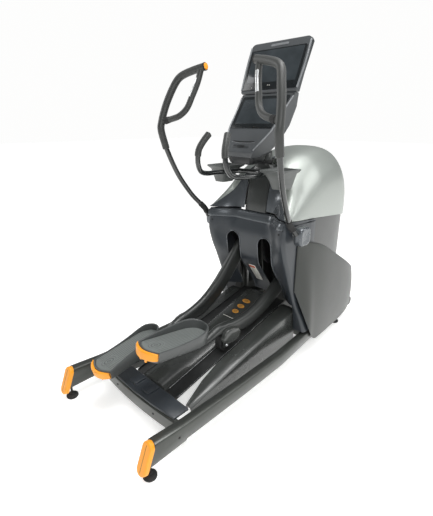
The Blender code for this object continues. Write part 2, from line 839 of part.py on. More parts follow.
def crank_pin(side, sign):
    """Short pin on the crank arm; it stops short of the pedal arm's bearing."""
    turn = CRANK_ANGLE if sign > 0 else CRANK_ANGLE + math.pi
    y = CRANK_Y + CRANK_RADIUS * math.cos(turn)
    z = CRANK_Z + CRANK_RADIUS * math.sin(turn)
    x0 = sign * (CRANK_ARM_INNER_X + 0.010)
    x1 = sign * (ARM_X - ARM_WIDTH / 2 - SWING_CLEAR)
    return rod_x(f"crank_pin_{side}", min(x0, x1), max(x0, x1), (y, z), 0.014, "steel")


def grooved_pulley(name, x0, x1, radius, bore, centre, material):
    """Flat-belt pulley with a small flange at each side and a thinner web."""
    mid = (x0 + x1) / 2
    web = 0.004
    rim = radius - 0.016
    hub = bore + 0.018
    profile = [
        (x0, bore),
        (x0, hub),
        (mid - web, hub + 0.002),
        (mid - web, rim - 0.002),
        (x0, rim),
        (x0, radius),
        (x1, radius),
        (x1, rim),
        (mid + web, rim - 0.002),
        (mid + web, hub + 0.002),
        (x1, hub),
        (x1, bore),
        (x0, bore),
    ]
    return turned_x(name, profile, centre, material, sides=24)


def drive_pulley():
    half = PULLEY_WIDTH / 2
    bore = CRANK_AXLE_RADIUS + RUN_CLEAR
    return grooved_pulley("drive_pulley", -half, half, DRIVE_PULLEY_RADIUS, bore, (CRANK_Y, CRANK_Z), "iron")


def step_pulley():
    """Intermediate shaft with its small and its large pulley."""
    half = PULLEY_WIDTH / 2
    reach = SIDE_PLATE_X + SIDE_PLATE_THICK + 0.004
    profile = [
        (-reach, SHAFT_RADIUS),
        (-half, SHAFT_RADIUS),
        (-half, STEP_SMALL_RADIUS),
        (half, STEP_SMALL_RADIUS),
        (half, STEP_SMALL_RADIUS - 0.006),
        (half + 0.004, STEP_SMALL_RADIUS - 0.006),
        (half + 0.004, STEP_LARGE_RADIUS),
        (half + 0.020, STEP_LARGE_RADIUS),
        (half + 0.020, SHAFT_RADIUS),
        (reach, SHAFT_RADIUS),
    ]
    return turned_x("step_pulley", profile, (STEP_Y, STEP_Z), "iron", sides=24)


def flywheel():
    """Flywheel on its shaft, with the small pulley that drives it."""
    reach = SIDE_PLATE_X + SIDE_PLATE_THICK + 0.004
    x0 = -0.030
    x1 = 0.006
    rim = FLYWHEEL_RADIUS - 0.035
    pulley_x0 = PULLEY_WIDTH / 2 + 0.002
    pulley_x1 = PULLEY_WIDTH / 2 + 0.022
    profile = [
        (-reach, SHAFT_RADIUS),
        (x0, SHAFT_RADIUS),
        (x0, 0.030),
        (x0 + 0.010, 0.032),
        (x0 + 0.010, rim - 0.004),
        (x0, rim),
        (x0, FLYWHEEL_RADIUS),
        (x1, FLYWHEEL_RADIUS),
        (x1, rim),
        (x1 - 0.010, rim - 0.004),
        (x1 - 0.010, 0.032),
        (x1, 0.030),
        (x1, SHAFT_RADIUS),
        (pulley_x0, SHAFT_RADIUS),
        (pulley_x0, FLYWHEEL_PULLEY_RADIUS),
        (pulley_x1, FLYWHEEL_PULLEY_RADIUS),
        (pulley_x1, SHAFT_RADIUS),
        (reach, SHAFT_RADIUS),
    ]
    return turned_x("flywheel", profile, (FLYWHEEL_Y, FLYWHEEL_Z), "iron", sides=24)


def belt(name, x0, x1, big_centre, big_radius, small_centre, small_radius):
    """Flat belt round two pulleys: two arcs and the straights between them."""
    along = Vector(small_centre) - Vector(big_centre)
    heading = math.degrees(math.atan2(along.y, along.x))
    tilt = math.degrees(math.acos((big_radius - small_radius) / along.length))

    def loop(offset):
        big = arc(big_centre, big_radius + offset, heading + tilt, heading + 360 - tilt, 20)
        small = arc(small_centre, small_radius + offset, heading - tilt, heading + tilt, 10)
        return big + small

    inner = loop(0.0018)
    outer = loop(0.0018 + BELT_THICK)
    bm = bmesh.new()
    rows = []
    for x, outline in ((x0, inner), (x0, outer), (x1, outer), (x1, inner)):
        rows.append([bm.verts.new((x, y, z)) for y, z in outline])
    bridge_rows(bm, rows, closed_around=True, closed_along=True)
    return finish_mesh(name, bm, "belt")


def belts():
    half = PULLEY_WIDTH / 2 - 0.002
    crank = (CRANK_Y, CRANK_Z)
    step = (STEP_Y, STEP_Z)
    wheel = (FLYWHEEL_Y, FLYWHEEL_Z)
    belt("drive_belt", -half, half, crank, DRIVE_PULLEY_RADIUS, step, STEP_SMALL_RADIUS)
    x0 = PULLEY_WIDTH / 2 + 0.0055
    x1 = PULLEY_WIDTH / 2 + 0.0185
    belt("flywheel_belt", x0, x1, step, STEP_LARGE_RADIUS, wheel, FLYWHEEL_PULLEY_RADIUS)


def eddy_brake():
    """Magnet shoe held close round the rear of the flywheel's rim."""
    centre = (FLYWHEEL_Y, FLYWHEEL_Z)
    inner = arc(centre, FLYWHEEL_RADIUS + 0.006, -35, 35, 8)
    outer = arc(centre, FLYWHEEL_RADIUS + 0.030, 35, -35, 8)
    return plate_x("eddy_brake", inner + outer, -0.0345, 0.008, "steel")


def drive_frame():
    """Welded unit on the spine: cross bar, two plates that hold the shafts, and the bent
    uprights with the handlebars' bearing tubes."""
    bar = box("drive_frame", (-0.290, 1.300, 0.0953), (0.290, 1.350, 0.140), "rail_paint")
    for side, sign in SIDES:
        cut(bar, side_upright(side, sign), "UNION")
        cut(bar, pivot_housing(side, sign), "UNION")
        cut(bar, drive_side_plate(side, sign), "UNION")
        low = min(sign * 0.170, sign * 0.320)
        high = max(sign * 0.170, sign * 0.320)
        centre = (HANDLE_PIVOT_Y, HANDLE_PIVOT_Z)
        bore = HANDLE_SHAFT_RADIUS + 2 * RUN_CLEAR
        cut(bar, rod_x(f"pivot_bore_{side}", low, high, centre, bore, "steel", sides=24))
    return bar


def drive_side_plate(side, sign):
    """Plate with a hole for each shaft of the drive."""
    outline = [
        (1.275, 0.1200),
        (1.980, 0.1200),
        (1.960, 0.540),
        (1.800, 0.860),
        (1.560, 0.980),
        (1.400, 1.080),
        (1.250, 1.080),
        (1.235, 0.930),
        (1.290, 0.560),
        (1.330, 0.300),
        (1.275, 0.220),
    ]
    x0 = sign * SIDE_PLATE_X
    x1 = sign * (SIDE_PLATE_X + SIDE_PLATE_THICK)
    low = min(x0, x1)
    high = max(x0, x1)
    plate = plate_x(f"drive_side_plate_{side}", outline, low, high, "rail_paint")
    holes = (
        ("crank", CRANK_Y, CRANK_Z, CRANK_AXLE_RADIUS),
        ("step", STEP_Y, STEP_Z, SHAFT_RADIUS),
        ("flywheel", FLYWHEEL_Y, FLYWHEEL_Z, SHAFT_RADIUS),
    )
    for name, y, z, radius in holes:
        hole = rod_x(f"{name}_hole_{side}", low - 0.01, high + 0.01, (y, z), radius + 2 * RUN_CLEAR, "steel")
        cut(plate, hole)
    return plate


# ---------------------------------------------------------------- handlebar supports and swing


def side_upright(side, sign):
    """Bent flat upright from the middle cross member to the handlebar bearing."""
    path = [(1.325, 0.1200), (1.330, 0.450), (1.240, 0.700), (1.128, 0.850)]
    width = (0.044, 0.050, 0.046, 0.030)
    front = [(y + w / 2, z) for (y, z), w in zip(path, width)]
    rear = [(y - w / 2, z) for (y, z), w in zip(path, width)]
    outline = front + rear[::-1]
    x0 = sign * 0.212
    x1 = sign * 0.240
    return plate_x(f"side_upright_{side}", outline, min(x0, x1), max(x0, x1), "rail_paint")


def pivot_housing(side, sign):
    """Bearing tube for the handlebar's shaft."""
    bore = HANDLE_SHAFT_RADIUS + RUN_CLEAR
    x0 = min(sign * 0.196, sign * 0.292)
    x1 = max(sign * 0.196, sign * 0.292)
    profile = [(x0, bore), (x0, 0.028), (x1, 0.028), (x1, bore), (x0, bore)]
    return turned_x(f"pivot_housing_{side}", profile, (HANDLE_PIVOT_Y, HANDLE_PIVOT_Z), "steel", sides=24)


def rocker_shaft(side, sign):
    """Handlebar's shaft with its lower lever welded to the inner end."""
    x0 = sign * (ROCKER_X - ROCKER_THICK / 2)
    x1 = sign * 0.3290
    centre = (HANDLE_PIVOT_Y, HANDLE_PIVOT_Z)
    name = f"rocker_shaft_{side}"
    shaft = rod_x(name, min(x0, x1), max(x0, x1), centre, HANDLE_SHAFT_RADIUS, "steel", sides=24)
    return cut(shaft, rocker_lever(side, sign), "UNION")


def rocker_end():
    """(y, z) of the lower rocker pin."""
    return (
        HANDLE_PIVOT_Y + ROCKER_LENGTH * math.sin(ROCKER_LEAN),
        HANDLE_PIVOT_Z - ROCKER_LENGTH * math.cos(ROCKER_LEAN),
    )


def rocker_lever(side, sign):
    """Lever under the handlebar's shaft, inside the housing."""
    down = ROCKER_LEAN - math.pi / 2
    outline = []
    for y, z in arc((0, 0), 0.026, 90, 270, 6) + arc((ROCKER_LENGTH, 0), 0.016, -90, 90, 6):
        outline.append(
            (
                HANDLE_PIVOT_Y + y * math.cos(down) - z * math.sin(down),
                HANDLE_PIVOT_Z + y * math.sin(down) + z * math.cos(down),
            )
        )
    x0 = sign * (ROCKER_X - ROCKER_THICK / 2)
    x1 = sign * (ROCKER_X + ROCKER_THICK / 2)
    lever = plate_x(f"rocker_lever_{side}", outline, min(x0, x1), max(x0, x1), "iron")
    reach = (min(x0, x1) - 0.01, max(x0, x1) + 0.01)
    return cut(lever, rod_x(f"rocker_eye_{side}", *reach, rocker_end(), 0.0072, "steel", sides=12))


# Centreline of a handlebar from its pivot cap up to the sleeve's start
HANDLE_LOWER = (
    (0.3500, 1.068, 0.868),
    (0.3400, 1.045, 0.900),
    (0.3330, 1.018, 0.931),
    (0.3540, 0.956, 0.998),
    (0.3660, 0.919, 1.045),
    (0.3840, 0.857, 1.140),
    (0.3980, 0.812, 1.235),
    (0.4090, 0.777, 1.325),
)
# Outer grip from the sleeve's start to the end cap
HANDLE_GRIP = (
    (0.4080, 0.7820, 1.3100),
    (0.4155, 0.757, 1.410),
    (0.4140, 0.762, 1.460),
    (0.4000, 0.783, 1.540),
    (0.3770, 0.808, 1.615),
    (0.3520, 0.835, 1.676),
    (0.3180, 0.850, 1.703),
    (0.2500, 0.866, 1.722),
    (0.1640, 0.883, 1.738),
)
# Inner grip that closes the loop
HANDLE_INNER = (
    (0.4100, 0.766, 1.462),
    (0.3450, 0.779, 1.474),
    (0.2900, 0.795, 1.492),
    (0.2520, 0.816, 1.530),
    (0.2300, 0.836, 1.590),
    (0.2080, 0.858, 1.660),
    (0.1980, 0.876, 1.728),
)


def mirrored(points, sign):
    return [(sign * x, y, z) for x, y, z in points]


def handlebar(side, sign):
    """Bent tube from the pivot cap up to the looped grip, in one piece."""
    lower = tube_mesh(f"handlebar_{side}", mirrored(HANDLE_LOWER, sign), HANDLE_TUBE_RADIUS, "arm_black")
    grip = tube_mesh(f"grip_loop_{side}", mirrored(HANDLE_GRIP, sign), GRIP_RADIUS, "rubber")
    inner = tube_mesh(f"grip_inner_{side}", mirrored(HANDLE_INNER, sign), 0.0165, "rubber")
    cut(lower, grip, "UNION")
    return cut(lower, inner, "UNION")


def tube_mesh(name, points, radius, material, sides=10):
    """Round tube as a mesh, for pieces that are joined with others."""
    path = smooth_path(points, 0.055)
    up = Vector((0, 1, 0))
    rings = []
    for index, point in enumerate(path):
        ahead = path[min(index + 1, len(path) - 1)]
        behind = path[max(index - 1, 0)]
        along = (ahead - behind).normalized()
        across = along.cross(up).normalized()
        other = along.cross(across).normalized()
        ring = []
        for i in range(sides):
            turn = 2 * math.pi * i / sides
            ring.append(point + across * (radius * math.cos(turn)) + other * (radius * math.sin(turn)))
        rings.append(ring)
    return loft(name, rings, material)


def pivot_cap(side, sign):
    """Moulded rounded cap outside the shoulder that joins the handlebar to its shaft."""
    x0 = 0.330
    rings = []
    for x, size in ((x0, 0.100), (x0 + 0.004, 0.106), (x0 + 0.034, 0.104), (x0 + 0.046, 0.090)):
        ring = []
        for u, v in rounded_rect(size, size * 1.05, size * 0.30, 3):
            ring.append((sign * x, HANDLE_PIVOT_Y + 0.004 + u, HANDLE_PIVOT_Z - 0.004 + v))
        rings.append(ring)
    cap = loft(f"pivot_cap_{side}", rings, "slate")
    path = mirrored(HANDLE_LOWER[:4], sign)
    guide = tube_mesh(f"handlebar_socket_{side}", path, HANDLE_TUBE_RADIUS + 4 * GAP, "slate")
    return cut(cap, guide)


# ---------------------------------------------------------------- housing

# Side edge of the silver cover from front to back: y, z, half width
COVER_EDGE = (
    (1.030, 0.944, 0.300),
    (1.110, 0.932, 0.306),
    (1.230, 0.918, 0.298),
    (1.370, 0.903, 0.284),
    (1.520, 0.884, 0.270),
    (1.670, 0.864, 0.252),
    (1.800, 0.845, 0.232),
    (1.910, 0.828, 0.205),
    (1.990, 0.818, 0.160),
    (2.032, 0.812, 0.095),
    (2.046, 0.810, 0.030),
)
# Ridge of the silver cover above each edge point: y, z
COVER_RIDGE = (
    (1.134, 0.948),
    (1.152, 1.065),
    (1.200, 1.190),
    (1.340, 1.270),
    (1.500, 1.306),
    (1.650, 1.312),
    (1.790, 1.285),
    (1.910, 1.205),
    (1.995, 1.090),
    (2.040, 0.950),
    (2.052, 0.850),
)


# Middle stretch of the shoulders' plan, and where it meets the outer faces
SHOULDER_FLAT_X = 0.120
SHOULDER_END_X = 0.280
NOTCH_X = 0.085
NOTCH_BACK_Y = 1.290


def plan_step(x, flat, end):
    """0 on the middle stretch, 1 at the outer faces, with an S-curve between them."""
    t = max(0.0, min(1.0, (abs(x) - flat) / (end - flat)))
    return t * t * (3 - 2 * t)


def top_cover():
    """Silver hood from the shoulders over the drive, open in front where the mast comes out."""
    rows = []
    for (edge_y, edge_z, half), (ridge_y, ridge_z) in zip(COVER_EDGE, COVER_RIDGE):
        roundness = 0.62 + 0.38 * max(0.0, min(1.0, (1.450 - edge_y) / 0.22))
        row = []
        for i in range(13):
            turn = math.pi * (i / 12 - 0.5)
            across = math.copysign(abs(math.sin(turn)) ** 0.72, turn)
            lift = math.cos(turn) ** roundness if abs(turn) < math.pi / 2 - 1e-6 else 0.0
            front = max(0.0, min(1.0, (1.300 - edge_y) / 0.200))
            level = 1 - plan_step(half * across, SHOULDER_FLAT_X, SHOULDER_END_X)
            y = edge_y + (ridge_y - edge_y) * (front * level + (1 - front) * lift)
            z = edge_z + (ridge_z - edge_z) * lift
            row.append((half * across, y, z))
        rows.append(row)
    cover = skin("top_cover", rows, SHEET, "silver")
    notch = box("mast_notch", (-NOTCH_X, 0.900, 0.850), (NOTCH_X, NOTCH_BACK_Y, 1.400), "silver")
    return cut(cover, notch)


def rear_shell():
    """Dark glossy wrap below the silver hood, round the back of the drive."""
    inset = 0.010
    rows = []
    for level, shrink in ((0.0, 0.0), (0.25, 0.0), (0.55, 0.0), (0.85, 0.006), (1.0, 0.016)):
        row = []
        for side in (-1, 1):
            edges = COVER_EDGE[3:] if side < 0 else COVER_EDGE[:2:-1]
            for y, z, half in edges:
                top = z - GAP * 10
                height = top + (0.300 - top) * level
                back = y - (inset if y > 1.9 else 0.0) - shrink
                row.append((side * (half - inset - shrink), back, height))
        rows.append(row)
    return skin("rear_shell", rows, SHEET, "dark_gloss", outward=Vector((0, 1, 0)))


# Lower side cover: station y, lower edge z, its x, upper edge z, its x
LEAF_STATIONS = (
    (1.165, 0.470, 0.310, 0.800, 0.309),
    (1.250, 0.215, 0.376, 0.776, 0.316),
    (1.330, 0.105, 0.377, 0.755, 0.322),
    (1.450, 0.086, 0.368, 0.712, 0.324),
    (1.600, 0.076, 0.352, 0.632, 0.320),
    (1.760, 0.066, 0.334, 0.545, 0.312),
    (1.900, 0.066, 0.316, 0.468, 0.298),
    (2.000, 0.085, 0.298, 0.412, 0.280),
    (2.060, 0.130, 0.280, 0.372, 0.262),
    (2.085, 0.200, 0.262, 0.320, 0.255),
)


def lower_side_cover(side, sign):
    """Leaf-shaped outer cover low on each side, bulged outwards in the middle."""
    rows = []
    for index, (y, low, low_x, high, high_x) in enumerate(LEAF_STATIONS):
        row = []
        for i in range(8):
            t = i / 7
            bulge = 0.016 * math.sin(math.pi * t) * math.sin(math.pi * (index + 0.5) / len(LEAF_STATIONS))
            x = low_x + (high_x - low_x) * t + bulge
            row.append((sign * x, y, low + (high - low) * t))
        rows.append(row)
    return skin(f"lower_side_cover_{side}", rows, SHEET, "cover_grey", outward=Vector((sign, 0, 0)))


# Front panel: height z, station y at the middle, station y at the side edge, side x
PANEL_STATIONS = (
    (0.9375, 1.134, 1.030, 0.3000),
    (0.920, 1.122, 1.026, 0.3000),
    (0.870, 1.096, 1.020, 0.3000),
    (0.800, 1.078, 1.016, 0.3000),
    (0.700, 1.084, 1.046, 0.3000),
    (0.620, 1.100, 1.082, 0.3000),
    (0.520, 1.172, 1.122, 0.3000),
    (0.430, 1.236, 1.160, 0.3030),
    (0.360, 1.262, 1.186, 0.3100),
    (0.280, 1.266, 1.205, 0.3380),
    (0.185, 1.270, 1.215, 0.3620),
)
PANEL_FLOOR_Z = 0.366
PANEL_BACK_Y = 1.355
SLOT_INNER_X = 0.072
SLOT_OUTER_X = 0.178


def front_panel():
    """Rear-facing wall of the housing with its side returns and a tall slot for each arm."""
    rows = []
    for z, mid_y, side_y, side_x in PANEL_STATIONS:
        flat = SHOULDER_FLAT_X if z > 0.85 else 0.150
        half = [(side_x, PANEL_BACK_Y), (side_x, 1.300), (side_x, side_y + 0.045)]
        half += [(side_x - 0.003, side_y + 0.012)]
        for x in (side_x - 0.014, 0.240, 0.190, 0.150, 0.100, 0.050):
            half.append((x, mid_y + (side_y - mid_y) * plan_step(x, flat, SHOULDER_END_X)))
        left = [(-x, y) for x, y in half]
        right = half[::-1]
        row = []
        for x, y in [*left, (0.0, mid_y), *right]:
            outer = z > 0.9 and abs(x) > side_x - 0.001
            drop = 0.003 + 0.098 * (y - 1.030) if outer else 0.0
            row.append((x, y, z - drop))
        rows.append(row)
    panel = skin("front_panel", rows, SHEET, "slate", outward=Vector((0, -1, 0)))
    opening = box("ramp_opening", (-0.283, 1.000, 0.100), (0.283, 1.290, PANEL_FLOOR_Z), "slate")
    cut(panel, opening)
    for side, sign in SIDES:
        middle = sign * (SLOT_INNER_X + SLOT_OUTER_X) / 2
        width = SLOT_OUTER_X - SLOT_INNER_X
        top = 0.800 - width / 2
        round_top = arc((0, top), width / 2, 0, 180, 8)
        foot_z = PANEL_FLOOR_Z - 0.05
        outline = [(width / 2, foot_z), *round_top, (-width / 2, foot_z)]
        rings = []
        for y in (0.98, 1.40):
            rings.append([(middle + u, y, v) for u, v in outline])
        cut(panel, loft(f"arm_slot_{side}", rings, "slate"))
        low = min(sign * 0.28, sign * 0.34)
        high = max(sign * 0.28, sign * 0.34)
        hole = rod_x(f"shaft_opening_{side}", low, high, (HANDLE_PIVOT_Y, HANDLE_PIVOT_Z), 0.019, "steel")
        cut(panel, hole)
    return panel


# ---------------------------------------------------------------- mast and console


STATIONARY_PATH = (
    (0.000, 1.118, 1.180),
    (0.060, 1.106, 1.180),
    (0.108, 1.060, 1.180),
    (0.131, 0.980, 1.180),
    (0.131, 0.914, 1.182),
    (0.124, 0.840, 1.185),
    (0.113, 0.785, 1.200),
    (0.105, 0.757, 1.240),
    (0.100, 0.751, 1.286),
    (0.094, 0.756, 1.325),
    (0.081, 0.779, 1.366),
    (0.065, 0.807, 1.404),
)
STATIONARY_RADIUS = 0.014
HOLDER_Y = 1.088


def mast():
    """Leaning column from the drive frame to the console."""
    half = SIDE_PLATE_X - GAP
    low_stations = ((1.330, 0.935, 0.050), (1.300, 1.010, 0.050), (1.245, 1.120, 0.046))
    stations = low_stations + ((1.215, 1.215, 0.044), (1.205, 1.285, 0.044))
    rings = []
    for y, z, depth in stations:
        ring = [(u, y + v * 0.94, z + v * 0.30) for u, v in rounded_rect(2 * half, depth * 1.6, 0.014, 2)]
        rings.append(ring)
    column = loft("mast", rings, "arm_black")
    cut(column, mast_boot(), "UNION")
    clamp_y = STATIONARY_PATH[0][1] + STATIONARY_RADIUS + GAP
    half = 0.1440
    bracket = box("holder_bracket", (-half, clamp_y, 1.174), (half, clamp_y + 0.016, 1.188), "arm_black")
    stub = box("bracket_stub", (-0.030, clamp_y + 0.008, 1.170), (0.030, 1.215, 1.190), "arm_black")
    cut(column, bracket, "UNION")
    return cut(column, stub, "UNION")


# Boot round the mast in the hood's front notch: height, half width, front y, rear y
BOOT_STATIONS = (
    (0.9405, 0.0840, 1.128, 1.2340),
    (1.0000, 0.0840, 1.137, 1.2340),
    (1.0830, 0.0830, 1.152, 1.2340),
    (1.1500, 0.0790, 1.168, 1.2870),
    (1.1950, 0.0690, 1.178, 1.2820),
    (1.2180, 0.0560, 1.186, 1.2700),
)


def mast_boot():
    """Moulded boot that closes the notch in the hood and narrows up to the mast."""
    rings = []
    for z, half, front, rear in BOOT_STATIONS:
        ring = []
        for u, v in rounded_rect(2 * half, rear - front, 0.020, 2):
            ring.append((u, (front + rear) / 2 + v, z))
        rings.append(ring)
    return loft("mast_boot", rings, "arm_black")


DECK_ANGLE = math.atan2(1.418 - 1.314, 1.057 - 0.971)
LOWER_SCREEN_ANGLE = math.atan2(1.599 - 1.418, 1.206 - 1.057)
UPPER_SCREEN_ANGLE = math.atan2(1.895 - 1.624, 1.317 - 1.206)


def console_housing():
    """Lower console body: underside, front lip, palm deck and the frame of the lower screen."""
    profile = [
        (0.992, 1.250, 0.080),
        (0.970, 1.266, 0.090),
        (0.963, 1.302, 0.098),
        (0.971, 1.314, 0.101),
        (1.057, 1.418, 0.156),
        (1.208, 1.603, 0.176),
        (1.246, 1.598, 0.174),
        (1.262, 1.540, 0.168),
        (1.225, 1.440, 0.155),
        (1.165, 1.350, 0.135),
        (1.110, 1.296, 0.108),
    ]
    housing = profile_body("console_housing", profile, "console_grey", bevel=0.006)
    tilt = DECK_ANGLE
    middle = Vector((0.0, 0.985, 1.3309))
    pocket = button_block("button_pocket", middle, tilt, 0.0172, 0.0102, -0.0080, 0.010)
    cut(housing, pocket)
    opening = box("mast_pocket", (-0.042, 1.150, 1.240), (0.042, 1.262, 1.3350), "console_grey")
    return cut(housing, opening)


def button_block(name, middle, tilt, half_x, half_along, low, high):
    """Rounded block on the deck: half sizes across and along it, and its depth range."""
    along = Vector((0, math.cos(tilt), math.sin(tilt)))
    out = Vector((0, -math.sin(tilt), math.cos(tilt)))
    rings = []
    for depth in (low, high):
        ring = []
        for u, v in rounded_rect(2 * half_x, 2 * half_along, half_along * 0.7, 3):
            ring.append(middle + Vector((u, 0, 0)) + along * v + out * depth)
        rings.append(ring)
    return loft(name, rings, "screen")


def console_button():
    """Start button in the deck's small strip."""
    middle = Vector((0.0, 0.985, 1.3309))
    return button_block("console_button", middle, DECK_ANGLE, 0.0160, 0.0090, -0.0045, 0.0022)


def screen_plate(name, low, high, angle, half_low, half_high, lift):
    """Glass plate on a sloping face; low and high are (y, z) of its lower and upper edge."""
    out = Vector((0, -math.sin(angle), math.cos(angle)))
    rings = []
    for depth in (lift, lift + 0.003):
        ring = []
        low_pair = ((low, half_low, -1), (low, half_low, 1))
        high_pair = ((high, half_high, 1), (high, half_high, -1))
        for (y, z), half, sign in low_pair + high_pair:
            ring.append(Vector((sign * half, y, z)) + out * depth)
        rings.append(ring)
    return loft(name, rings, "screen", bevel=0.001)


def lower_screen():
    low = (1.063, 1.4253)
    high = (1.203, 1.5968)
    return screen_plate("lower_screen", low, high, LOWER_SCREEN_ANGLE + 0.008, 0.148, 0.164, 0.0008)


def display_frame():
    """Frame and back of the upper display."""
    profile = [
        (1.2080, 1.6085, 0.184),
        (1.206, 1.622, 0.200),
        (1.313, 1.886, 0.205),
        (1.330, 1.897, 0.203),
        (1.352, 1.888, 0.196),
        (1.290, 1.720, 0.190),
        (1.252, 1.6100, 0.176),
    ]
    return profile_body("display_frame", profile, "console_grey", bevel=0.006)


def upper_screen():
    low = (1.2095, 1.6310)
    high = (1.3035, 1.8625)
    return screen_plate("upper_screen", low, high, UPPER_SCREEN_ANGLE - 0.003, 0.190, 0.187, 0.0010)


def stationary_handlebar():
    """One bent tube in front of the mast, with an upright end at each side."""
    left = mirrored(STATIONARY_PATH, -1)[::-1]
    path = left[:-1] + list(STATIONARY_PATH)
    return tube("stationary_handlebar", path, STATIONARY_RADIUS, "arm_black", step=0.035)


def bottle_holder(side, sign):
    """Open pocket beside the mast with a wide lip."""
    rings = []
    shapes = (
        (1.108, 0.220, 0.080, 0.100),
        (1.150, 0.217, 0.100, 0.125),
        (1.188, 0.210, 0.125, 0.155),
        (1.204, 0.205, 0.160, 0.195),
        (1.212, 0.205, 0.160, 0.195),
    )
    for z, x, width, length in shapes:
        outline = rounded_rect(width, length, 0.020, 2)
        rings.append([(sign * (x + u), HOLDER_Y + v, z) for u, v in outline])
    holder = loft(f"bottle_holder_{side}", rings, "cover_grey")
    rings = []
    pocket = (
        (1.112, 0.220, 0.074, 0.094),
        (1.150, 0.217, 0.094, 0.119),
        (1.192, 0.212, 0.110, 0.140),
        (1.230, 0.210, 0.118, 0.155),
    )
    for z, x, width, length in pocket:
        outline = rounded_rect(width, length, 0.018, 2)
        rings.append([(sign * (x + u), HOLDER_Y + v, z) for u, v in outline])
    return cut(holder, loft(f"holder_pocket_{side}", rings, "cover_grey"))


# ---------------------------------------------------------------- transport wheels


def transport_wheel(side, sign):
    x0 = sign * WHEEL_X - WHEEL_WIDTH / 2
    x1 = sign * WHEEL_X + WHEEL_WIDTH / 2
    bore = 0.006 + RUN_CLEAR
    shoulder = WHEEL_RADIUS - 0.004
    profile = [(x0, bore), (x0, shoulder), (x0 + 0.004, WHEEL_RADIUS)]
    profile += [(x1 - 0.004, WHEEL_RADIUS), (x1, shoulder), (x1, bore), (x0, bore)]
    return turned_x(f"transport_wheel_{side}", profile, (WHEEL_Y, WHEEL_Z), "rubber", sides=24)


def wheel_bracket(side, sign):
    """Plate from the front cross member to the wheel, with its axle pin."""
    boss = arc((WHEEL_Y, WHEEL_Z), 0.016, 90, -90, 6)
    root = FRONT_BEAM_Y + 0.020
    neck = WHEEL_Y - 0.034
    outline = [(root, 0.050), (root, 0.100), (neck, 0.104), *boss, (neck, 0.066)]
    x0 = sign * 0.244
    x1 = sign * 0.250
    bracket = plate_x(f"wheel_bracket_{side}", outline, min(x0, x1), max(x0, x1), "rail_paint")
    p0 = sign * 0.247
    p1 = sign * 0.2785
    pin = rod_x(f"wheel_pin_{side}", min(p0, p1), max(p0, p1), (WHEEL_Y, WHEEL_Z), 0.006, "steel", sides=12)
    return cut(bracket, pin, "UNION")


def build():
    for side, sign in SIDES:
        side_rail(side, sign)
        rail_end_cap(side, sign)
        levelling_foot(f"rear_foot_{side}", sign * RAIL_SPACING_X, 0.0)
        levelling_foot(f"front_foot_{side}", sign * FRONT_FOOT_X, FRONT_FOOT_Y)
        ramp_side_cover(side, sign)
        roller_track(side, sign)
        carriage, arm = joint_empties(side, sign)
        pedal_arm(side, sign, arm)
        roller_and_axle(side, sign, carriage)
        pedal_shell(side, sign, arm)
        pedal_pad(side, sign, arm)
        pedal_bumper(side, sign, arm)
        crank_arm(side, sign)
        rocker_shaft(side, sign)
        handlebar(side, sign)
        pivot_cap(side, sign)
        lower_side_cover(side, sign)
        bottle_holder(side, sign)
        transport_wheel(side, sign)
    rear_cross_member()
    rear_cover()
    base_frame()
    drive_frame()
    ramp_center_cover()
    crank_axle()
    drive_pulley()
    step_pulley()
    flywheel()
    belts()
    eddy_brake()
    top_cover()
    rear_shell()
    front_panel()
    mast()
    console_housing()
    console_button()
    lower_screen()
    display_frame()
    upper_screen()
    stationary_handlebar()


build()
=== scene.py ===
"""Finishes, grips and fine trim of the elliptical trainer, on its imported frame."""

import math

import bmesh
import bpy
from mathutils import Matrix, Vector


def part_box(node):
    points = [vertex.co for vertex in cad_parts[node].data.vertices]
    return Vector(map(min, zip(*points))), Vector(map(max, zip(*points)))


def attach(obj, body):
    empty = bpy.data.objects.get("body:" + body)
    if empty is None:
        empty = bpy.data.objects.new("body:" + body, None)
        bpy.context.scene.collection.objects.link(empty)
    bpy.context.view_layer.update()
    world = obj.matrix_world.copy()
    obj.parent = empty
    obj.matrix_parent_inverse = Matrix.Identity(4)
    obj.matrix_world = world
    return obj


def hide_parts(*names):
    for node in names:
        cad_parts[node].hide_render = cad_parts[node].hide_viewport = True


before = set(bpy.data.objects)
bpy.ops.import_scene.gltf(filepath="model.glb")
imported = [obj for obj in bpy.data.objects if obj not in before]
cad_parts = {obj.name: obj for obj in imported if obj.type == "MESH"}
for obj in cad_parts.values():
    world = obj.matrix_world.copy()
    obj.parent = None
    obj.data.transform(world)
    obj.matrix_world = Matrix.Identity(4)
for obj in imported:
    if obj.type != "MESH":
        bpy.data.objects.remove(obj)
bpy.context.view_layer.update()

SIDES = (("right", 1), ("left", -1))


def box_middle(node):
    low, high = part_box(node)
    return (low + high) / 2


# Stations along Y are counted from the line of the rear levelling feet
STATION_Y = box_middle("rear_foot_right").y


def at(x, y, z):
    """A point given by its station, in the row frame."""
    return Vector((x, y + STATION_Y, z))


# ---------------------------------------------------------------- camera, floor and light

LENS_MM = 25.92
SENSOR_MM = 36.0
EYE = (1.412, -1.6802, 1.452)
EYE_TILT = math.radians(70.06)
EYE_TURN = math.radians(44.25)
FLOOR_HALF = 30.0
FLOOR_GLOW = 0.55
AIR_SEEN = 1.0
AIR_FELT = 0.20
SKY_POWER = 1.3
SKY_SPREAD = math.radians(60.0)
# Name, place, target, width, height and power
LAMPS = (
    ("overhead", (0.6, 0.0, 3.9), (0.0, 0.0, 0.5), 2.6, 1.2, 60.0),
    ("window", (3.0, -2.6, 3.0), (0.1, 0.3, 0.9), 1.2, 1.6, 60.0),
    ("rear_strip", (2.6, 3.2, 2.6), (0.2, 0.7, 0.8), 0.7, 2.0, 24.0),
    ("left_fill", (-3.4, -1.6, 2.6), (0.0, 0.1, 0.8), 1.0, 2.0, 34.0),
)


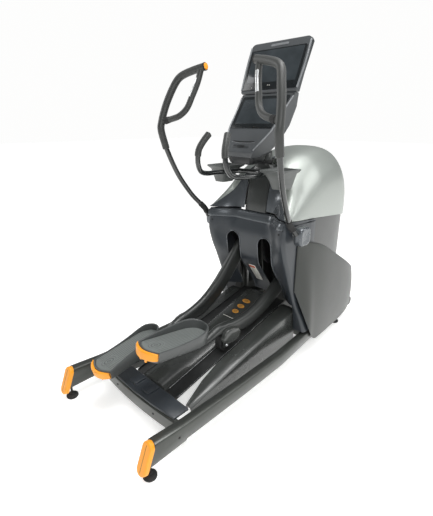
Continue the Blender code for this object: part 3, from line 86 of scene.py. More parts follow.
def put(name, data):
    """An object in the scene for a camera, lamp or mesh."""
    obj = bpy.data.objects.new(name, data)
    bpy.context.scene.collection.objects.link(obj)
    return obj


def dial(node, **values):
    """Sets a node's plain values by their labels."""
    for label, value in values.items():
        node.inputs[label.replace("_", " ")].default_value = value


def blank_material(name):
    """A new material with its node tree and its shader."""
    material = bpy.data.materials.new(name)
    material.use_nodes = True
    return material, material.node_tree, material.node_tree.nodes["Principled BSDF"]


def viewer():
    """Camera at standing height, behind and to the right of the machine."""
    camera = bpy.data.cameras.new("camera")
    camera.lens = LENS_MM
    camera.sensor_width = SENSOR_MM
    camera.clip_start = 0.05
    eye = put("camera", camera)
    eye.location = EYE
    eye.rotation_euler = (EYE_TILT, 0.0, EYE_TURN)
    bpy.context.scene.camera = eye


def pale_floor():
    """Plain pale floor that glows a little, so that its far edge melts into the air."""
    bm = bmesh.new()
    bmesh.ops.create_grid(bm, x_segments=1, y_segments=1, size=FLOOR_HALF)
    mesh = bpy.data.meshes.new("studio_floor")
    bm.to_mesh(mesh)
    bm.free()
    floor = put("studio_floor", mesh)
    paper, _, shader = blank_material("floor_paper")
    dial(shader, Base_Color=(0.88, 0.88, 0.87, 1.0), Roughness=0.9, Specular_IOR_Level=0.1,
         Emission_Color=(1.0, 1.0, 0.985, 1.0), Emission_Strength=FLOOR_GLOW)
    mesh.materials.append(paper)


def white_air():
    """White surroundings that light the machine less than they show."""
    world = bpy.data.worlds.new("studio_air")
    bpy.context.scene.world = world
    world.use_nodes = True
    tree = world.node_tree
    tree.nodes.clear()
    rays = tree.nodes.new("ShaderNodeLightPath")
    seen = tree.nodes.new("ShaderNodeBackground")
    dial(seen, Color=(0.985, 0.985, 0.98, 1.0), Strength=AIR_SEEN)
    felt = tree.nodes.new("ShaderNodeBackground")
    dial(felt, Color=(0.95, 0.98, 1.0, 1.0), Strength=AIR_FELT)
    mix = tree.nodes.new("ShaderNodeMixShader")
    out = tree.nodes.new("ShaderNodeOutputWorld")
    tree.links.new(rays.outputs["Is Camera Ray"], mix.inputs[0])
    tree.links.new(felt.outputs[0], mix.inputs[1])
    tree.links.new(seen.outputs[0], mix.inputs[2])
    tree.links.new(mix.outputs[0], out.inputs["Surface"])


def soft_light():
    """A wide soft sky and four area lamps."""
    sun = bpy.data.lights.new("sky", "SUN")
    sun.energy = SKY_POWER
    sun.angle = SKY_SPREAD
    put("sky", sun).rotation_euler = (math.radians(-14.0), math.radians(16.0), 0.0)
    for name, place, target, width, height, power in LAMPS:
        lamp = bpy.data.lights.new(name, "AREA")
        lamp.shape = "RECTANGLE"
        lamp.size = width
        lamp.size_y = height
        lamp.energy = power
        holder = put(name, lamp)
        holder.location = place
        holder.rotation_mode = "QUATERNION"
        holder.rotation_quaternion = (Vector(target) - Vector(place)).to_track_quat("-Z", "Y")


def studio():
    viewer()
    pale_floor()
    white_air()
    soft_light()
    bpy.context.scene.view_settings.view_transform = "Standard"


# ---------------------------------------------------------------- shader node groups


def node_group(name, inputs, outputs):
    """An empty shader group with its sockets, and its two end nodes."""
    tree = bpy.data.node_groups.new(name, "ShaderNodeTree")
    for label, kind, value in inputs:
        socket = tree.interface.new_socket(name=label, in_out="INPUT", socket_type=kind)
        socket.default_value = value
    for label, kind in outputs:
        tree.interface.new_socket(name=label, in_out="OUTPUT", socket_type=kind)
    return tree, tree.nodes.new("NodeGroupInput"), tree.nodes.new("NodeGroupOutput")


def noise(tree, place, scale, detail=4.0, rough=0.55):
    made = tree.nodes.new("ShaderNodeTexNoise")
    made.inputs["Detail"].default_value = detail
    made.inputs["Roughness"].default_value = rough
    tree.links.new(place, made.inputs["Vector"])
    if isinstance(scale, (int, float)):
        made.inputs["Scale"].default_value = scale
    else:
        tree.links.new(scale, made.inputs["Scale"])
    return made.outputs["Fac"]


def calc(tree, operation, first, second, clamp=False):
    made = tree.nodes.new("ShaderNodeMath")
    made.operation = operation
    made.use_clamp = clamp
    for socket, value in zip(made.inputs, (first, second)):
        if isinstance(value, (int, float)):
            socket.default_value = value
        else:
            tree.links.new(value, socket)
    return made.outputs[0]


def span(tree, value, low, high, to_low, to_high):
    made = tree.nodes.new("ShaderNodeMapRange")
    made.inputs["From Min"].default_value = low
    made.inputs["From Max"].default_value = high
    tree.links.new(value, made.inputs["Value"])
    for label, given in (("To Min", to_low), ("To Max", to_high)):
        if isinstance(given, (int, float)):
            made.inputs[label].default_value = given
        else:
            tree.links.new(given, made.inputs[label])
    return made.outputs["Result"]


def blend_colour(tree, mask, first, second, mode="MIX"):
    made = tree.nodes.new("ShaderNodeMix")
    made.data_type = "RGBA"
    made.blend_type = mode
    tree.links.new(mask, made.inputs[0])
    for socket, value in ((made.inputs[6], first), (made.inputs[7], second)):
        if isinstance(value, tuple):
            socket.default_value = value
        else:
            tree.links.new(value, socket)
    return made.outputs[2]


def scaled_colour(tree, colour, factor):
    """A colour made lighter or darker by a factor."""
    made = tree.nodes.new("ShaderNodeVectorMath")
    made.operation = "SCALE"
    tree.links.new(colour, made.inputs[0])
    tree.links.new(factor, made.inputs["Scale"])
    return made.outputs[0]


def raised(tree, height, strength, depth):
    """Relief from a height, on the shader's normal."""
    relief = tree.nodes.new("ShaderNodeBump")
    dial(relief, Strength=strength, Distance=depth)
    tree.links.new(height, relief.inputs["Height"])
    tree.links.new(relief.outputs[0], tree.nodes["Principled BSDF"].inputs["Normal"])


def surface_place(tree):
    return tree.nodes.new("ShaderNodeTexCoord").outputs["Object"]


def make_tone_group():
    """Slow cloudy change of a moulding's or paint's colour."""
    tree, start, end = node_group(
        "tone_drift",
        (
            ("Colour", "NodeSocketColor", (0.5, 0.5, 0.5, 1.0)),
            ("Amount", "NodeSocketFloat", 0.1),
            ("Scale", "NodeSocketFloat", 6.0),
        ),
        (("Colour", "NodeSocketColor"), ("Cloud", "NodeSocketFloat")),
    )
    cloud = noise(tree, surface_place(tree), start.outputs["Scale"], 5.0, 0.6)
    darker = calc(tree, "SUBTRACT", 1.0, start.outputs["Amount"])
    lighter = calc(tree, "ADD", 1.0, start.outputs["Amount"])
    factor = span(tree, cloud, 0.3, 0.7, darker, lighter)
    tree.links.new(scaled_colour(tree, start.outputs["Colour"], factor), end.inputs["Colour"])
    tree.links.new(cloud, end.inputs["Cloud"])
    return tree


RUB_RADIUS = 0.0025
DUST_COLOUR = (0.42, 0.42, 0.40, 1.0)


def make_wear_group():
    """Rubbed corners and the lighter scuffs beside them."""
    tree, start, end = node_group(
        "edge_rub",
        (
            ("Colour", "NodeSocketColor", (0.5, 0.5, 0.5, 1.0)),
            ("Rubbed", "NodeSocketColor", (0.8, 0.8, 0.8, 1.0)),
            ("Amount", "NodeSocketFloat", 0.3),
        ),
        (("Colour", "NodeSocketColor"), ("Mask", "NodeSocketFloat")),
    )
    flat = tree.nodes.new("ShaderNodeNewGeometry").outputs["Normal"]
    rounded = tree.nodes.new("ShaderNodeBevel")
    rounded.samples = 4
    rounded.inputs["Radius"].default_value = RUB_RADIUS
    turn = tree.nodes.new("ShaderNodeVectorMath")
    turn.operation = "DOT_PRODUCT"
    tree.links.new(flat, turn.inputs[0])
    tree.links.new(rounded.outputs[0], turn.inputs[1])
    edge = span(tree, turn.outputs["Value"], 0.92, 0.72, 0.0, 1.0)
    patch = span(tree, noise(tree, surface_place(tree), 38.0, 6.0, 0.65), 0.42, 0.62, 0.0, 1.0)
    mask = calc(tree, "MULTIPLY", calc(tree, "MULTIPLY", edge, patch), start.outputs["Amount"], True)
    colour = blend_colour(tree, mask, start.outputs["Colour"], start.outputs["Rubbed"])
    tree.links.new(colour, end.inputs["Colour"])
    tree.links.new(mask, end.inputs["Mask"])
    return tree


def make_dust_group():
    """Thin dust that settles on faces that look up."""
    tree, start, end = node_group(
        "settled_dust",
        (
            ("Colour", "NodeSocketColor", (0.5, 0.5, 0.5, 1.0)),
            ("Amount", "NodeSocketFloat", 0.1),
        ),
        (("Colour", "NodeSocketColor"), ("Mask", "NodeSocketFloat")),
    )
    normal = tree.nodes.new("ShaderNodeNewGeometry").outputs["Normal"]
    parts = tree.nodes.new("ShaderNodeSeparateXYZ")
    tree.links.new(normal, parts.inputs[0])
    upward = span(tree, parts.outputs["Z"], 0.35, 1.0, 0.0, 1.0)
    patch = span(tree, noise(tree, surface_place(tree), 9.0, 8.0, 0.7), 0.38, 0.68, 0.2, 1.0)
    mask = calc(tree, "MULTIPLY", calc(tree, "MULTIPLY", upward, patch), start.outputs["Amount"], True)
    colour = blend_colour(tree, mask, start.outputs["Colour"], DUST_COLOUR)
    tree.links.new(colour, end.inputs["Colour"])
    tree.links.new(mask, end.inputs["Mask"])
    return tree


def make_grain_group():
    """Fine moulded or sprayed texture as a height."""
    tree, start, end = node_group(
        "fine_grain",
        (
            ("Scale", "NodeSocketFloat", 900.0),
            ("Ripple Scale", "NodeSocketFloat", 60.0),
            ("Ripple", "NodeSocketFloat", 0.3),
        ),
        (("Height", "NodeSocketFloat"), ("Fleck", "NodeSocketFloat")),
    )
    place = surface_place(tree)
    fleck = noise(tree, place, start.outputs["Scale"], 2.0, 0.5)
    ripple = noise(tree, place, start.outputs["Ripple Scale"], 2.0, 0.4)
    height = calc(tree, "ADD", fleck, calc(tree, "MULTIPLY", ripple, start.outputs["Ripple"]))
    tree.links.new(height, end.inputs["Height"])
    tree.links.new(fleck, end.inputs["Fleck"])
    return tree


def make_brushed_group():
    """Fine lines round or along a machined piece."""
    tree, start, end = node_group(
        "brushed_lines",
        (
            ("Across", "NodeSocketVector", (900.0, 30.0, 900.0)),
            ("Strength", "NodeSocketFloat", 0.2),
        ),
        (("Height", "NodeSocketFloat"), ("Streak", "NodeSocketFloat")),
    )
    stretch = tree.nodes.new("ShaderNodeVectorMath")
    stretch.operation = "MULTIPLY"
    tree.links.new(surface_place(tree), stretch.inputs[0])
    tree.links.new(start.outputs["Across"], stretch.inputs[1])
    streak = noise(tree, stretch.outputs[0], 1.0, 3.0, 0.5)
    tree.links.new(calc(tree, "MULTIPLY", streak, start.outputs["Strength"]), end.inputs["Height"])
    tree.links.new(streak, end.inputs["Streak"])
    return tree


TONE = make_tone_group()
RUB = make_wear_group()
DUST = make_dust_group()
GRAIN = make_grain_group()
BRUSHED = make_brushed_group()


def use(tree, group, **values):
    made = tree.nodes.new("ShaderNodeGroup")
    made.node_tree = group
    for label, value in values.items():
        socket = made.inputs[label.replace("_", " ")]
        if hasattr(value, "is_output"):
            tree.links.new(value, socket)
        else:
            socket.default_value = value
    return made


def finish(name, colour, rough, spread=0.03, metallic=0.0, coat=0.0, coat_rough=0.1, drift=0.08,
           drift_scale=6.0, rub=0.06, rubbed=(0.35, 0.35, 0.34), dust=0.014, grain=900.0, ripple=0.3,
           ripple_scale=60.0, bump=0.06, depth=0.00012, fleck=0.0, sheen=0.0):
    """Paint or moulded plastic with cloudy tone, rubbed corners, settled dust and a fine grain."""
    material, tree, shader = blank_material(name)
    tone = use(tree, TONE, Colour=(*colour, 1.0), Amount=drift, Scale=drift_scale)
    worn = use(tree, RUB, Colour=tone.outputs["Colour"], Rubbed=(*rubbed, 1.0), Amount=rub)
    dusty = use(tree, DUST, Colour=worn.outputs["Colour"], Amount=dust)
    skin_grain = use(tree, GRAIN, Scale=grain, Ripple_Scale=ripple_scale, Ripple=ripple)
    base = dusty.outputs["Colour"]
    if fleck:
        spark = span(tree, skin_grain.outputs["Fleck"], 0.35, 0.68, 1.0 - fleck, 1.0 + fleck)
        base = scaled_colour(tree, base, spark)
    tree.links.new(base, shader.inputs["Base Color"])
    level = span(tree, tone.outputs["Cloud"], 0.3, 0.7, rough - spread, rough + spread)
    level = calc(tree, "ADD", level, calc(tree, "MULTIPLY", dusty.outputs["Mask"], 0.5), True)
    tree.links.new(level, shader.inputs["Roughness"])
    raised(tree, skin_grain.outputs["Height"], bump, depth)
    dial(shader, Metallic=metallic, Coat_Weight=coat, Coat_Roughness=coat_rough, Sheen_Weight=sheen)
    return material


def bright_metal(name, colour, rough, across=(900.0, 30.0, 900.0), strength=0.25):
    """Turned or brushed metal with fine lines and faint handling marks."""
    material, tree, shader = blank_material(name)
    tone = use(tree, TONE, Colour=(*colour, 1.0), Amount=0.08, Scale=14.0)
    lines = use(tree, BRUSHED, Across=across, Strength=strength)
    tree.links.new(tone.outputs["Colour"], shader.inputs["Base Color"])
    level = span(tree, lines.outputs["Streak"], 0.3, 0.7, rough - 0.03, rough + 0.03)
    tree.links.new(level, shader.inputs["Roughness"])
    raised(tree, lines.outputs["Height"], 0.10, 0.0001)
    dial(shader, Metallic=1.0)
    return material


def glass_window(name, colour, rough):
    """Black display window, slightly matt, with faint finger marks."""
    material, tree, shader = blank_material(name)
    tone = use(tree, TONE, Colour=(*colour, 1.0), Amount=0.25, Scale=9.0)
    smear = span(tree, tone.outputs["Cloud"], 0.35, 0.7, rough, rough + 0.10)
    tree.links.new(tone.outputs["Colour"], shader.inputs["Base Color"])
    tree.links.new(smear, shader.inputs["Roughness"])
    grain = use(tree, GRAIN, Scale=300.0, Ripple_Scale=12.0, Ripple=0.6)
    raised(tree, grain.outputs["Height"], 0.02, 0.0002)
    dial(shader, Coat_Weight=0.12, Coat_Roughness=0.25, Specular_IOR_Level=0.30)
    return material


def paint_groove_shade(material, attribute, colour):
    """Paints shade into the low places of a moulded relief, which the mesh keeps as an attribute."""
    tree = material.node_tree
    shader = tree.nodes["Principled BSDF"]
    lit = shader.inputs["Base Color"].links[0].from_socket
    height = tree.nodes.new("ShaderNodeAttribute")
    height.attribute_name = attribute
    mask = span(tree, height.outputs["Fac"], 0.55, 0.05, 0.0, 0.85)
    tree.links.new(blend_colour(tree, mask, lit, colour), shader.inputs["Base Color"])


ORANGE = finish("orange_moulding", (0.96, 0.37, 0.02), 0.42, drift=0.05, rub=0.07,
                rubbed=(1.0, 0.55, 0.2), dust=0.011, bump=0.08)
RAIL_PAINT = finish("charcoal_rail_paint", (0.060, 0.064, 0.058), 0.36, metallic=0.55, coat=0.35,
                    coat_rough=0.16, drift=0.07, rub=0.17, dust=0.028, fleck=0.077, grain=1600.0,
                    ripple=0.8, bump=0.05)
SILVER = finish("silver_hood_paint", (0.42, 0.45, 0.42), 0.38, metallic=0.60, coat=0.25,
                coat_rough=0.22, drift=0.03, drift_scale=2.5, rub=0.05, rubbed=(0.75, 0.76, 0.74),
                dust=0.011, fleck=0.035, grain=1800.0, ripple=0.5, bump=0.03)
DARK_GLOSS = finish("dark_shell_gloss", (0.013, 0.016, 0.014), 0.34, coat=0.22, coat_rough=0.12,
                    drift=0.12, rub=0.07, dust=0.014, bump=0.03, ripple_scale=18.0)
SATIN_GREY = finish("satin_cover_grey", (0.033, 0.036, 0.032), 0.40, metallic=0.15, coat=0.12,
                    coat_rough=0.25, drift=0.06, drift_scale=3.0, rub=0.10, dust=0.014, bump=0.06)
RAMP_GREY = finish("ramp_cover_gloss", (0.045, 0.048, 0.045), 0.26, coat=0.45, coat_rough=0.10,
                   drift=0.05, drift_scale=5.0, rub=0.12, dust=0.010, bump=0.04, ripple_scale=24.0)
SLATE = finish("slate_panel", (0.030, 0.036, 0.043), 0.40, coat=0.15, coat_rough=0.25, drift=0.07,
               rub=0.10, rubbed=(0.16, 0.17, 0.19), dust=0.014, bump=0.10)
# Glossy slate for the hood shoulders, brow, slot lips and pivot blocks: the gloss is real, but its base
# colour, much lighter than the panel's slate, is a painted highlight.
SLATE_GLOSS_PAINTED_HIGHLIGHT = finish("slate_gloss_painted_highlight", (0.095, 0.105, 0.115), 0.26, metallic=0.45, coat=0.5,
                     coat_rough=0.12, drift=0.05, rub=0.10, dust=0.008, bump=0.04)
RUBBER = finish("black_rubber", (0.012, 0.012, 0.012), 0.72, drift=0.2, rub=0.15,
                rubbed=(0.08, 0.08, 0.08), dust=0.034, grain=700.0, bump=0.25, depth=0.0006)
GRIP = finish("grip_rubber", (0.032, 0.034, 0.032), 0.46, drift=0.10, rub=0.10,
              rubbed=(0.12, 0.12, 0.12), dust=0.008, grain=1100.0, bump=0.16, sheen=0.15)
ARM_BLACK = finish("black_arm_paint", (0.034, 0.037, 0.035), 0.36, metallic=0.2, coat=0.35,
                   coat_rough=0.18, drift=0.05, rub=0.12, rubbed=(0.20, 0.20, 0.19), dust=0.012,
                   fleck=0.02, grain=1500.0, ripple=0.4, bump=0.03)
TUBE_BLACK = finish("black_tube_paint", (0.016, 0.018, 0.018), 0.22, metallic=0.1, coat=0.7,
                    coat_rough=0.07, drift=0.08, rub=0.15, dust=0.011, bump=0.03)
TRACK = finish("track_black", (0.012, 0.013, 0.013), 0.50, drift=0.2, rub=0.20, dust=0.050,
               bump=0.08)
PAD = finish("foot_pad_grey", (0.150, 0.165, 0.158), 0.55, drift=0.07, rub=0.17,
             rubbed=(0.34, 0.36, 0.35), dust=0.022, grain=800.0, bump=0.22, sheen=0.1)
# Painted shade in the tread's grooves: a darker grey where the rib relief is low.
paint_groove_shade(PAD, "rib", (0.050, 0.056, 0.054, 1.0))
PEDAL_GREY = finish("pedal_shell_grey", (0.070, 0.075, 0.074), 0.36, coat=0.15, coat_rough=0.22,
                    drift=0.06, rub=0.15, rubbed=(0.25, 0.26, 0.25), dust=0.014, bump=0.08)
HOLDER = finish("holder_grey", (0.105, 0.112, 0.108), 0.42, drift=0.05, rub=0.10, dust=0.017,
                bump=0.10)
CONSOLE = finish("console_grey", (0.062, 0.067, 0.071), 0.42, coat=0.1, coat_rough=0.3,
                 drift=0.05, rub=0.12, rubbed=(0.25, 0.26, 0.27), dust=0.011, bump=0.12)
# Pale grey for the console's edge strips, the deck slot's lip and the bezel plaque: on the rounded edges it
# is a painted highlight, partly a real lighter grey on the display's bezel.
CONSOLE_PALE_PAINTED_HIGHLIGHT = finish("console_pale_edge_painted_highlight", (0.23, 0.24, 0.25), 0.34, metallic=0.35, coat=0.2,
                      drift=0.04, rub=0.07, dust=0.006, bump=0.06)
CONSOLE_BLACK = finish("console_black", (0.007, 0.008, 0.009), 0.50, coat=0.05, drift=0.1,
                       rub=0.07, dust=0.011, bump=0.06)
IRON = finish("machined_casting", (0.11, 0.11, 0.11), 0.48, metallic=0.85, drift=0.15, rub=0.20,
              rubbed=(0.45, 0.44, 0.42), dust=0.022, grain=500.0, bump=0.3, depth=0.0006)
BELT = finish("belt_rubber", (0.018, 0.018, 0.018), 0.75, drift=0.15, rub=0.05, dust=0.028,
              grain=500.0, bump=0.3)
BADGE = finish("badge_amber", (0.60, 0.27, 0.035), 0.40, coat=0.2, drift=0.12, rub=0.10,
               rubbed=(0.75, 0.45, 0.15), dust=0.022, bump=0.06)
PALE_MARK = finish("pale_print", (0.62, 0.61, 0.56), 0.5, drift=0.06, rub=0.05, dust=0.014,
                   bump=0.05)
LABEL_RED = finish("label_header", (0.62, 0.10, 0.03), 0.45, drift=0.06, rub=0.05, dust=0.011,
                   bump=0.05)
STEEL = bright_metal("turned_steel", (0.56, 0.57, 0.58), 0.30)
CONTACT = bright_metal("contact_steel", (0.80, 0.81, 0.81), 0.38, across=(300.0, 300.0, 20.0))
TRACK_EDGE = bright_metal("aluminium_edge", (0.66, 0.67, 0.68), 0.30, across=(800.0, 20.0, 800.0))
CONSOLE_DARK = finish("console_dark_strip", (0.034, 0.037, 0.040), 0.42, drift=0.05, rub=0.05,
                      dust=0.006)
# Dark orange for the line down each rail cap: painted shade of the groove there.
ORANGE_SHADE = finish("orange_groove_painted_shade", (0.30, 0.10, 0.012), 0.50, drift=0.05, rub=0.0, dust=0.0)
LABEL_GREY = finish("label_lines", (0.30, 0.30, 0.28), 0.55, drift=0.05, rub=0.0, dust=0.0)
WINDOW = glass_window("black_window", (0.010, 0.012, 0.013), 0.16)
DISPLAY = glass_window("display_area", (0.030, 0.036, 0.040), 0.10)


# ---------------------------------------------------------------- mesh helpers

WALL = 0.003
WELD_DISTANCE = 0.00002


def soften(obj, name, width, segments, angle, harden=True):
    """Rounds the edges that turn by more than an angle."""
    soft = obj.modifiers.new(name, "BEVEL")
    soft.width = width
    soft.segments = segments
    soft.limit_method = "ANGLE"
    soft.angle_limit = math.radians(angle)
    soft.harden_normals = harden


def make_piece(name, bm, body, material, replaces, smooth=0):
    """A piece from a bmesh, finished and riding on its body."""
    mesh = bpy.data.meshes.new(name)
    bm.to_mesh(mesh)
    bm.free()
    mesh.shade_smooth()
    if smooth:
        mesh.set_sharp_from_angle(angle=math.radians(smooth))
    mesh.materials.append(material)
    obj = put(name, mesh)
    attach(obj, body)
    if replaces:
        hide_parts(*replaces)
    return obj


def new_piece(name, bm, body, material, replaces=(), smooth=38.0):
    """A closed piece, its faces turned outwards."""
    bmesh.ops.recalc_face_normals(bm, faces=bm.faces)
    return make_piece(name, bm, body, material, replaces, smooth)


def bridge(bm, rows, around):
    for low, high in zip(rows, rows[1:]):
        count = len(low)
        for i in range(count if around else count - 1):
            j = (i + 1) % count
            bm.faces.new((low[i], low[j], high[j], high[i]))


def loft(name, rings, body, material, replaces=(), smooth=38.0):
    """A closed body through outlines with the same number of points."""
    bm = bmesh.new()
    rows = [[bm.verts.new(point) for point in ring] for ring in rings]
    bridge(bm, rows, True)
    bm.faces.new(rows[0])
    bm.faces.new(rows[-1])
    return new_piece(name, bm, body, material, replaces, smooth)


def sheet(name, rows, body, material, replaces=(), outward=(0, 0, 1)):
    """A moulded wall from a grid of points on its outer face."""
    bm = bmesh.new()
    grid = [[bm.verts.new(point) for point in row] for row in rows]
    bridge(bm, grid, False)
    bm.normal_update()
    total = sum((face.normal * face.calc_area() for face in bm.faces), Vector())
    if total.dot(Vector(outward)) < 0:
        bmesh.ops.reverse_faces(bm, faces=bm.faces)
    return wall_from_grid(name, bm, body, material, replaces)


def wall_from_grid(name, bm, body, material, replaces=()):
    """Thickens an open grid away from its outer face and softens its rim."""
    obj = make_piece(name, bm, body, material, replaces)
    wall = obj.modifiers.new("wall", "SOLIDIFY")
    wall.thickness = WALL
    wall.offset = -1.0
    wall.use_even_offset = False
    wall.thickness_clamp = 1.0
    soften(obj, "rim", 0.001, 2, 50.0)
    return obj


def block(name, low, high):
    """Plain cutter between two (x, station, z) corners."""
    rings = []
    for y in (low[1], high[1]):
        corners = ((low[0], low[2]), (high[0], low[2]), (high[0], high[2]), (low[0], high[2]))
        rings.append([at(x, y, z) for x, z in corners])
    return loft(name, rings, "frame", SLATE)


def carve(obj, cutters):
    """Cuts an open wall's mesh with closed cutters, and removes them."""
    for cutter in cutters:
        tool = obj.modifiers.new(cutter.name, "BOOLEAN")
        tool.object = cutter
        tool.operation = "DIFFERENCE"
        tool.solver = "EXACT"
    obj.modifiers["rim"].show_viewport = False
    graph = bpy.context.evaluated_depsgraph_get()
    graph.update()
    mesh = bpy.data.meshes.new_from_object(obj.evaluated_get(graph))
    old = obj.data
    obj.modifiers.clear()
    obj.data = mesh
    bpy.data.meshes.remove(old)
    soften(obj, "rim", 0.0008, 2, 50.0, harden=False)
    for cutter in cutters:
        bpy.data.objects.remove(cutter)


def curved(a, b, c, d, t):
    """Between b and c on a smooth curve, with a before them and d after them; t runs from 0 to 1."""
    start = b * (1 + t * t * (2 * t - 3)) + (c - a) * 0.5 * t * (1 - t) ** 2
    return start + c * t * t * (3 - 2 * t) - (d - b) * 0.5 * t * t * (1 - t)


def smooth_path(points, step):
    """Points about one step apart on a smooth curve through the given points."""
    points = [Vector(point) for point in points]
    before = points[0] * 2 - points[1]
    after = points[-1] * 2 - points[-2]
    whole = [before, *points, after]
    path = [points[0]]
    for a, b, c, d in zip(whole, whole[1:], whole[2:], whole[3:]):
        count = max(2, round((c - b).length / step))
        path += [curved(a, b, c, d, i / count) for i in range(1, count + 1)]
    return path


def smooth_table(rows, count):
    """More rows on a smooth curve through a table's rows."""
    made = []
    last = len(rows) - 1
    for index in range(last):
        near = (rows[max(index - 1, 0)], rows[index], rows[index + 1], rows[min(index + 2, last)])
        for i in range(count):
            made.append(tuple(curved(*values, i / count) for values in zip(*near)))
    made.append(tuple(rows[-1]))
    return made


def smooth_loop(points, count):
    """A closed smooth outline through a few points."""
    points = [Vector(point) for point in points]
    size = len(points)
    made = []
    for index in range(size):
        near = [points[(index + k) % size] for k in (-1, 0, 1, 2)]
        made += [curved(*near, i / count) for i in range(count)]
    return made


def part_of(path, start, end):
    """The stretch of a path between two shares of its length."""
    lengths = [0.0]
    for a, b in zip(path, path[1:]):
        lengths.append(lengths[-1] + (b - a).length)
    whole = lengths[-1]
    kept = []
    for target in (start * whole, end * whole):
        for i in range(len(path) - 1):
            if lengths[i] <= target <= lengths[i + 1] + 1e-9:
                t = (target - lengths[i]) / max(lengths[i + 1] - lengths[i], 1e-9)
                kept.append(path[i].lerp(path[i + 1], t))
                break
    inside = [p for p, s in zip(path, lengths) if start * whole + 1e-4 < s < end * whole - 1e-4]
    return [kept[0], *inside, kept[1]]


END_STEPS = 4


def sweep(name, path, radius, body, material, replaces=(), sides=28, soft=0.003):
    """Round tube along a path, with rounded ends. radius is one number or a function of 0 to 1."""
    size = radius if callable(radius) else (lambda share: radius)
    last = len(path) - 1
    along = [(b - a).normalized() for a, b in zip(path, path[1:])]
    tangents = [along[0]] + [(a + b).normalized() for a, b in zip(along, along[1:])] + [along[-1]]
    across = tangents[0].orthogonal().normalized()
    frames = []
    for tangent in tangents:
        across = (across - tangent * across.dot(tangent)).normalized()
        frames.append((across.copy(), tangent.cross(across)))

    def ring(index, shrink, shift):
        u, v = frames[index]
        reach = size(index / last) - shrink
        made = []
        for i in range(sides):
            turn = 2 * math.pi * i / sides
            spoke = u * (reach * math.cos(turn)) + v * (reach * math.sin(turn))
            made.append(path[index] + tangents[index] * shift + spoke)
        return made

    def end_ring(index, step, inward):
        turn = step / END_STEPS * math.pi / 2
        return ring(index, soft * (1 - math.sin(turn)), inward * soft * (1 - math.cos(turn)))

    rings = [end_ring(0, step, 1) for step in range(END_STEPS)]
    rings.append(ring(0, 0.0, soft))
    rings += [ring(index, 0.0, 0.0) for index in range(1, last)]
    rings.append(ring(last, 0.0, -soft))
    rings += [end_ring(last, step, -1) for step in reversed(range(END_STEPS))]
    return loft(name, rings, body, material, replaces, smooth=50.0)


def turned(name, middle, axis, profile, body, material, replaces=(), sides=36, smooth=40.0):
    """A turned piece: steps of (distance along the axis, radius)."""
    axis = Vector(axis).normalized()
    across = axis.orthogonal().normalized()
    other = axis.cross(across)
    rings = []
    for along, radius in profile:
        ring = []
        for i in range(sides):
            turn = 2 * math.pi * i / sides
            spoke = across * (radius * math.cos(turn)) + other * (radius * math.sin(turn))
            ring.append(middle + axis * along + spoke)
        rings.append(ring)
    return loft(name, rings, body, material, replaces, smooth)


def screw_head(name, middle, axis, radius, body):
    """Domed screw head with a socket in its middle."""
    profile = (
        (-0.0010, radius),
        (0.0008, radius),
        (0.0016, radius * 0.88),
        (0.0021, radius * 0.58),
        (0.0021, radius * 0.50),
        (0.0006, radius * 0.46),
    )
    return turned(name, middle, axis, profile, body, RUBBER, sides=24)


def plate(name, middle, across, along, outline, low, high, body, material, replaces=(), soft=0.0006):
    """A thin plate on a sloping face, with a softened upper edge."""
    out = across.cross(along).normalized()
    rings = []
    for height, inset in ((low, 0.0), (high - soft, 0.0), (high - soft * 0.3, soft * 0.3), (high, soft)):
        ring = []
        for u, v in outline:
            keep = 1 - inset / max(math.hypot(u, v), 2 * soft)
            ring.append(middle + across * (u * keep) + along * (v * keep) + out * height)
        rings.append(ring)
    return loft(name, rings, body, material, replaces, smooth=50.0)


def trim(name, middle, along, outline, low, high, material, soft=0.0002):
    """A plate on the frame that lies straight across the machine."""
    plate(name, middle, ACROSS, along, outline, low, high, "frame", material, soft=soft)


def oval(width, height, count=32):
    return [
        (width / 2 * math.cos(2 * math.pi * i / count), height / 2 * math.sin(2 * math.pi * i / count))
        for i in range(count)
    ]


def beside(path, direction, distance):
    """A path moved sideways, square to its own run."""
    made = []
    last = len(path) - 1
    for index, point in enumerate(path):
        tangent = (path[min(index + 1, last)] - path[max(index - 1, 0)]).normalized()
        side = direction - tangent * direction.dot(tangent)
        made.append(point + side.normalized() * distance)
    return made


def clamp(value):
    return max(0.0, min(1.0, value))


def tapered_rect(half_low, half_high, height, corner, steps):
    """(u, v) points of a rounded rectangle that widens upwards, anticlockwise about its middle."""
    upper = ((1, 1, half_high, 0.0), (-1, 1, half_high, 0.5))
    lower = ((-1, -1, half_low, 1.0), (1, -1, half_low, 1.5))
    points = []
    for su, sv, half, start in upper + lower:
        for i in range(steps + 1):
            turn = math.pi * (start + 0.5 * i / steps)
            u = su * (half - corner) + corner * math.cos(turn)
            v = sv * (height / 2 - corner) + corner * math.sin(turn)
            points.append((u, v))
    return points


def rounded_rect(width, height, corner, steps=4):
    return tapered_rect(width / 2, width / 2, height, corner, steps)


def between(stations, place):
    """Straight-line value of a table of (station, value...) rows at one station."""
    if place <= stations[0][0]:
        return stations[0][1:]
    for low, high in zip(stations, stations[1:]):
        if place <= high[0]:
            t = (place - low[0]) / (high[0] - low[0])
            return tuple(a + (b - a) * t for a, b in zip(low[1:], high[1:]))
    return stations[-1][1:]


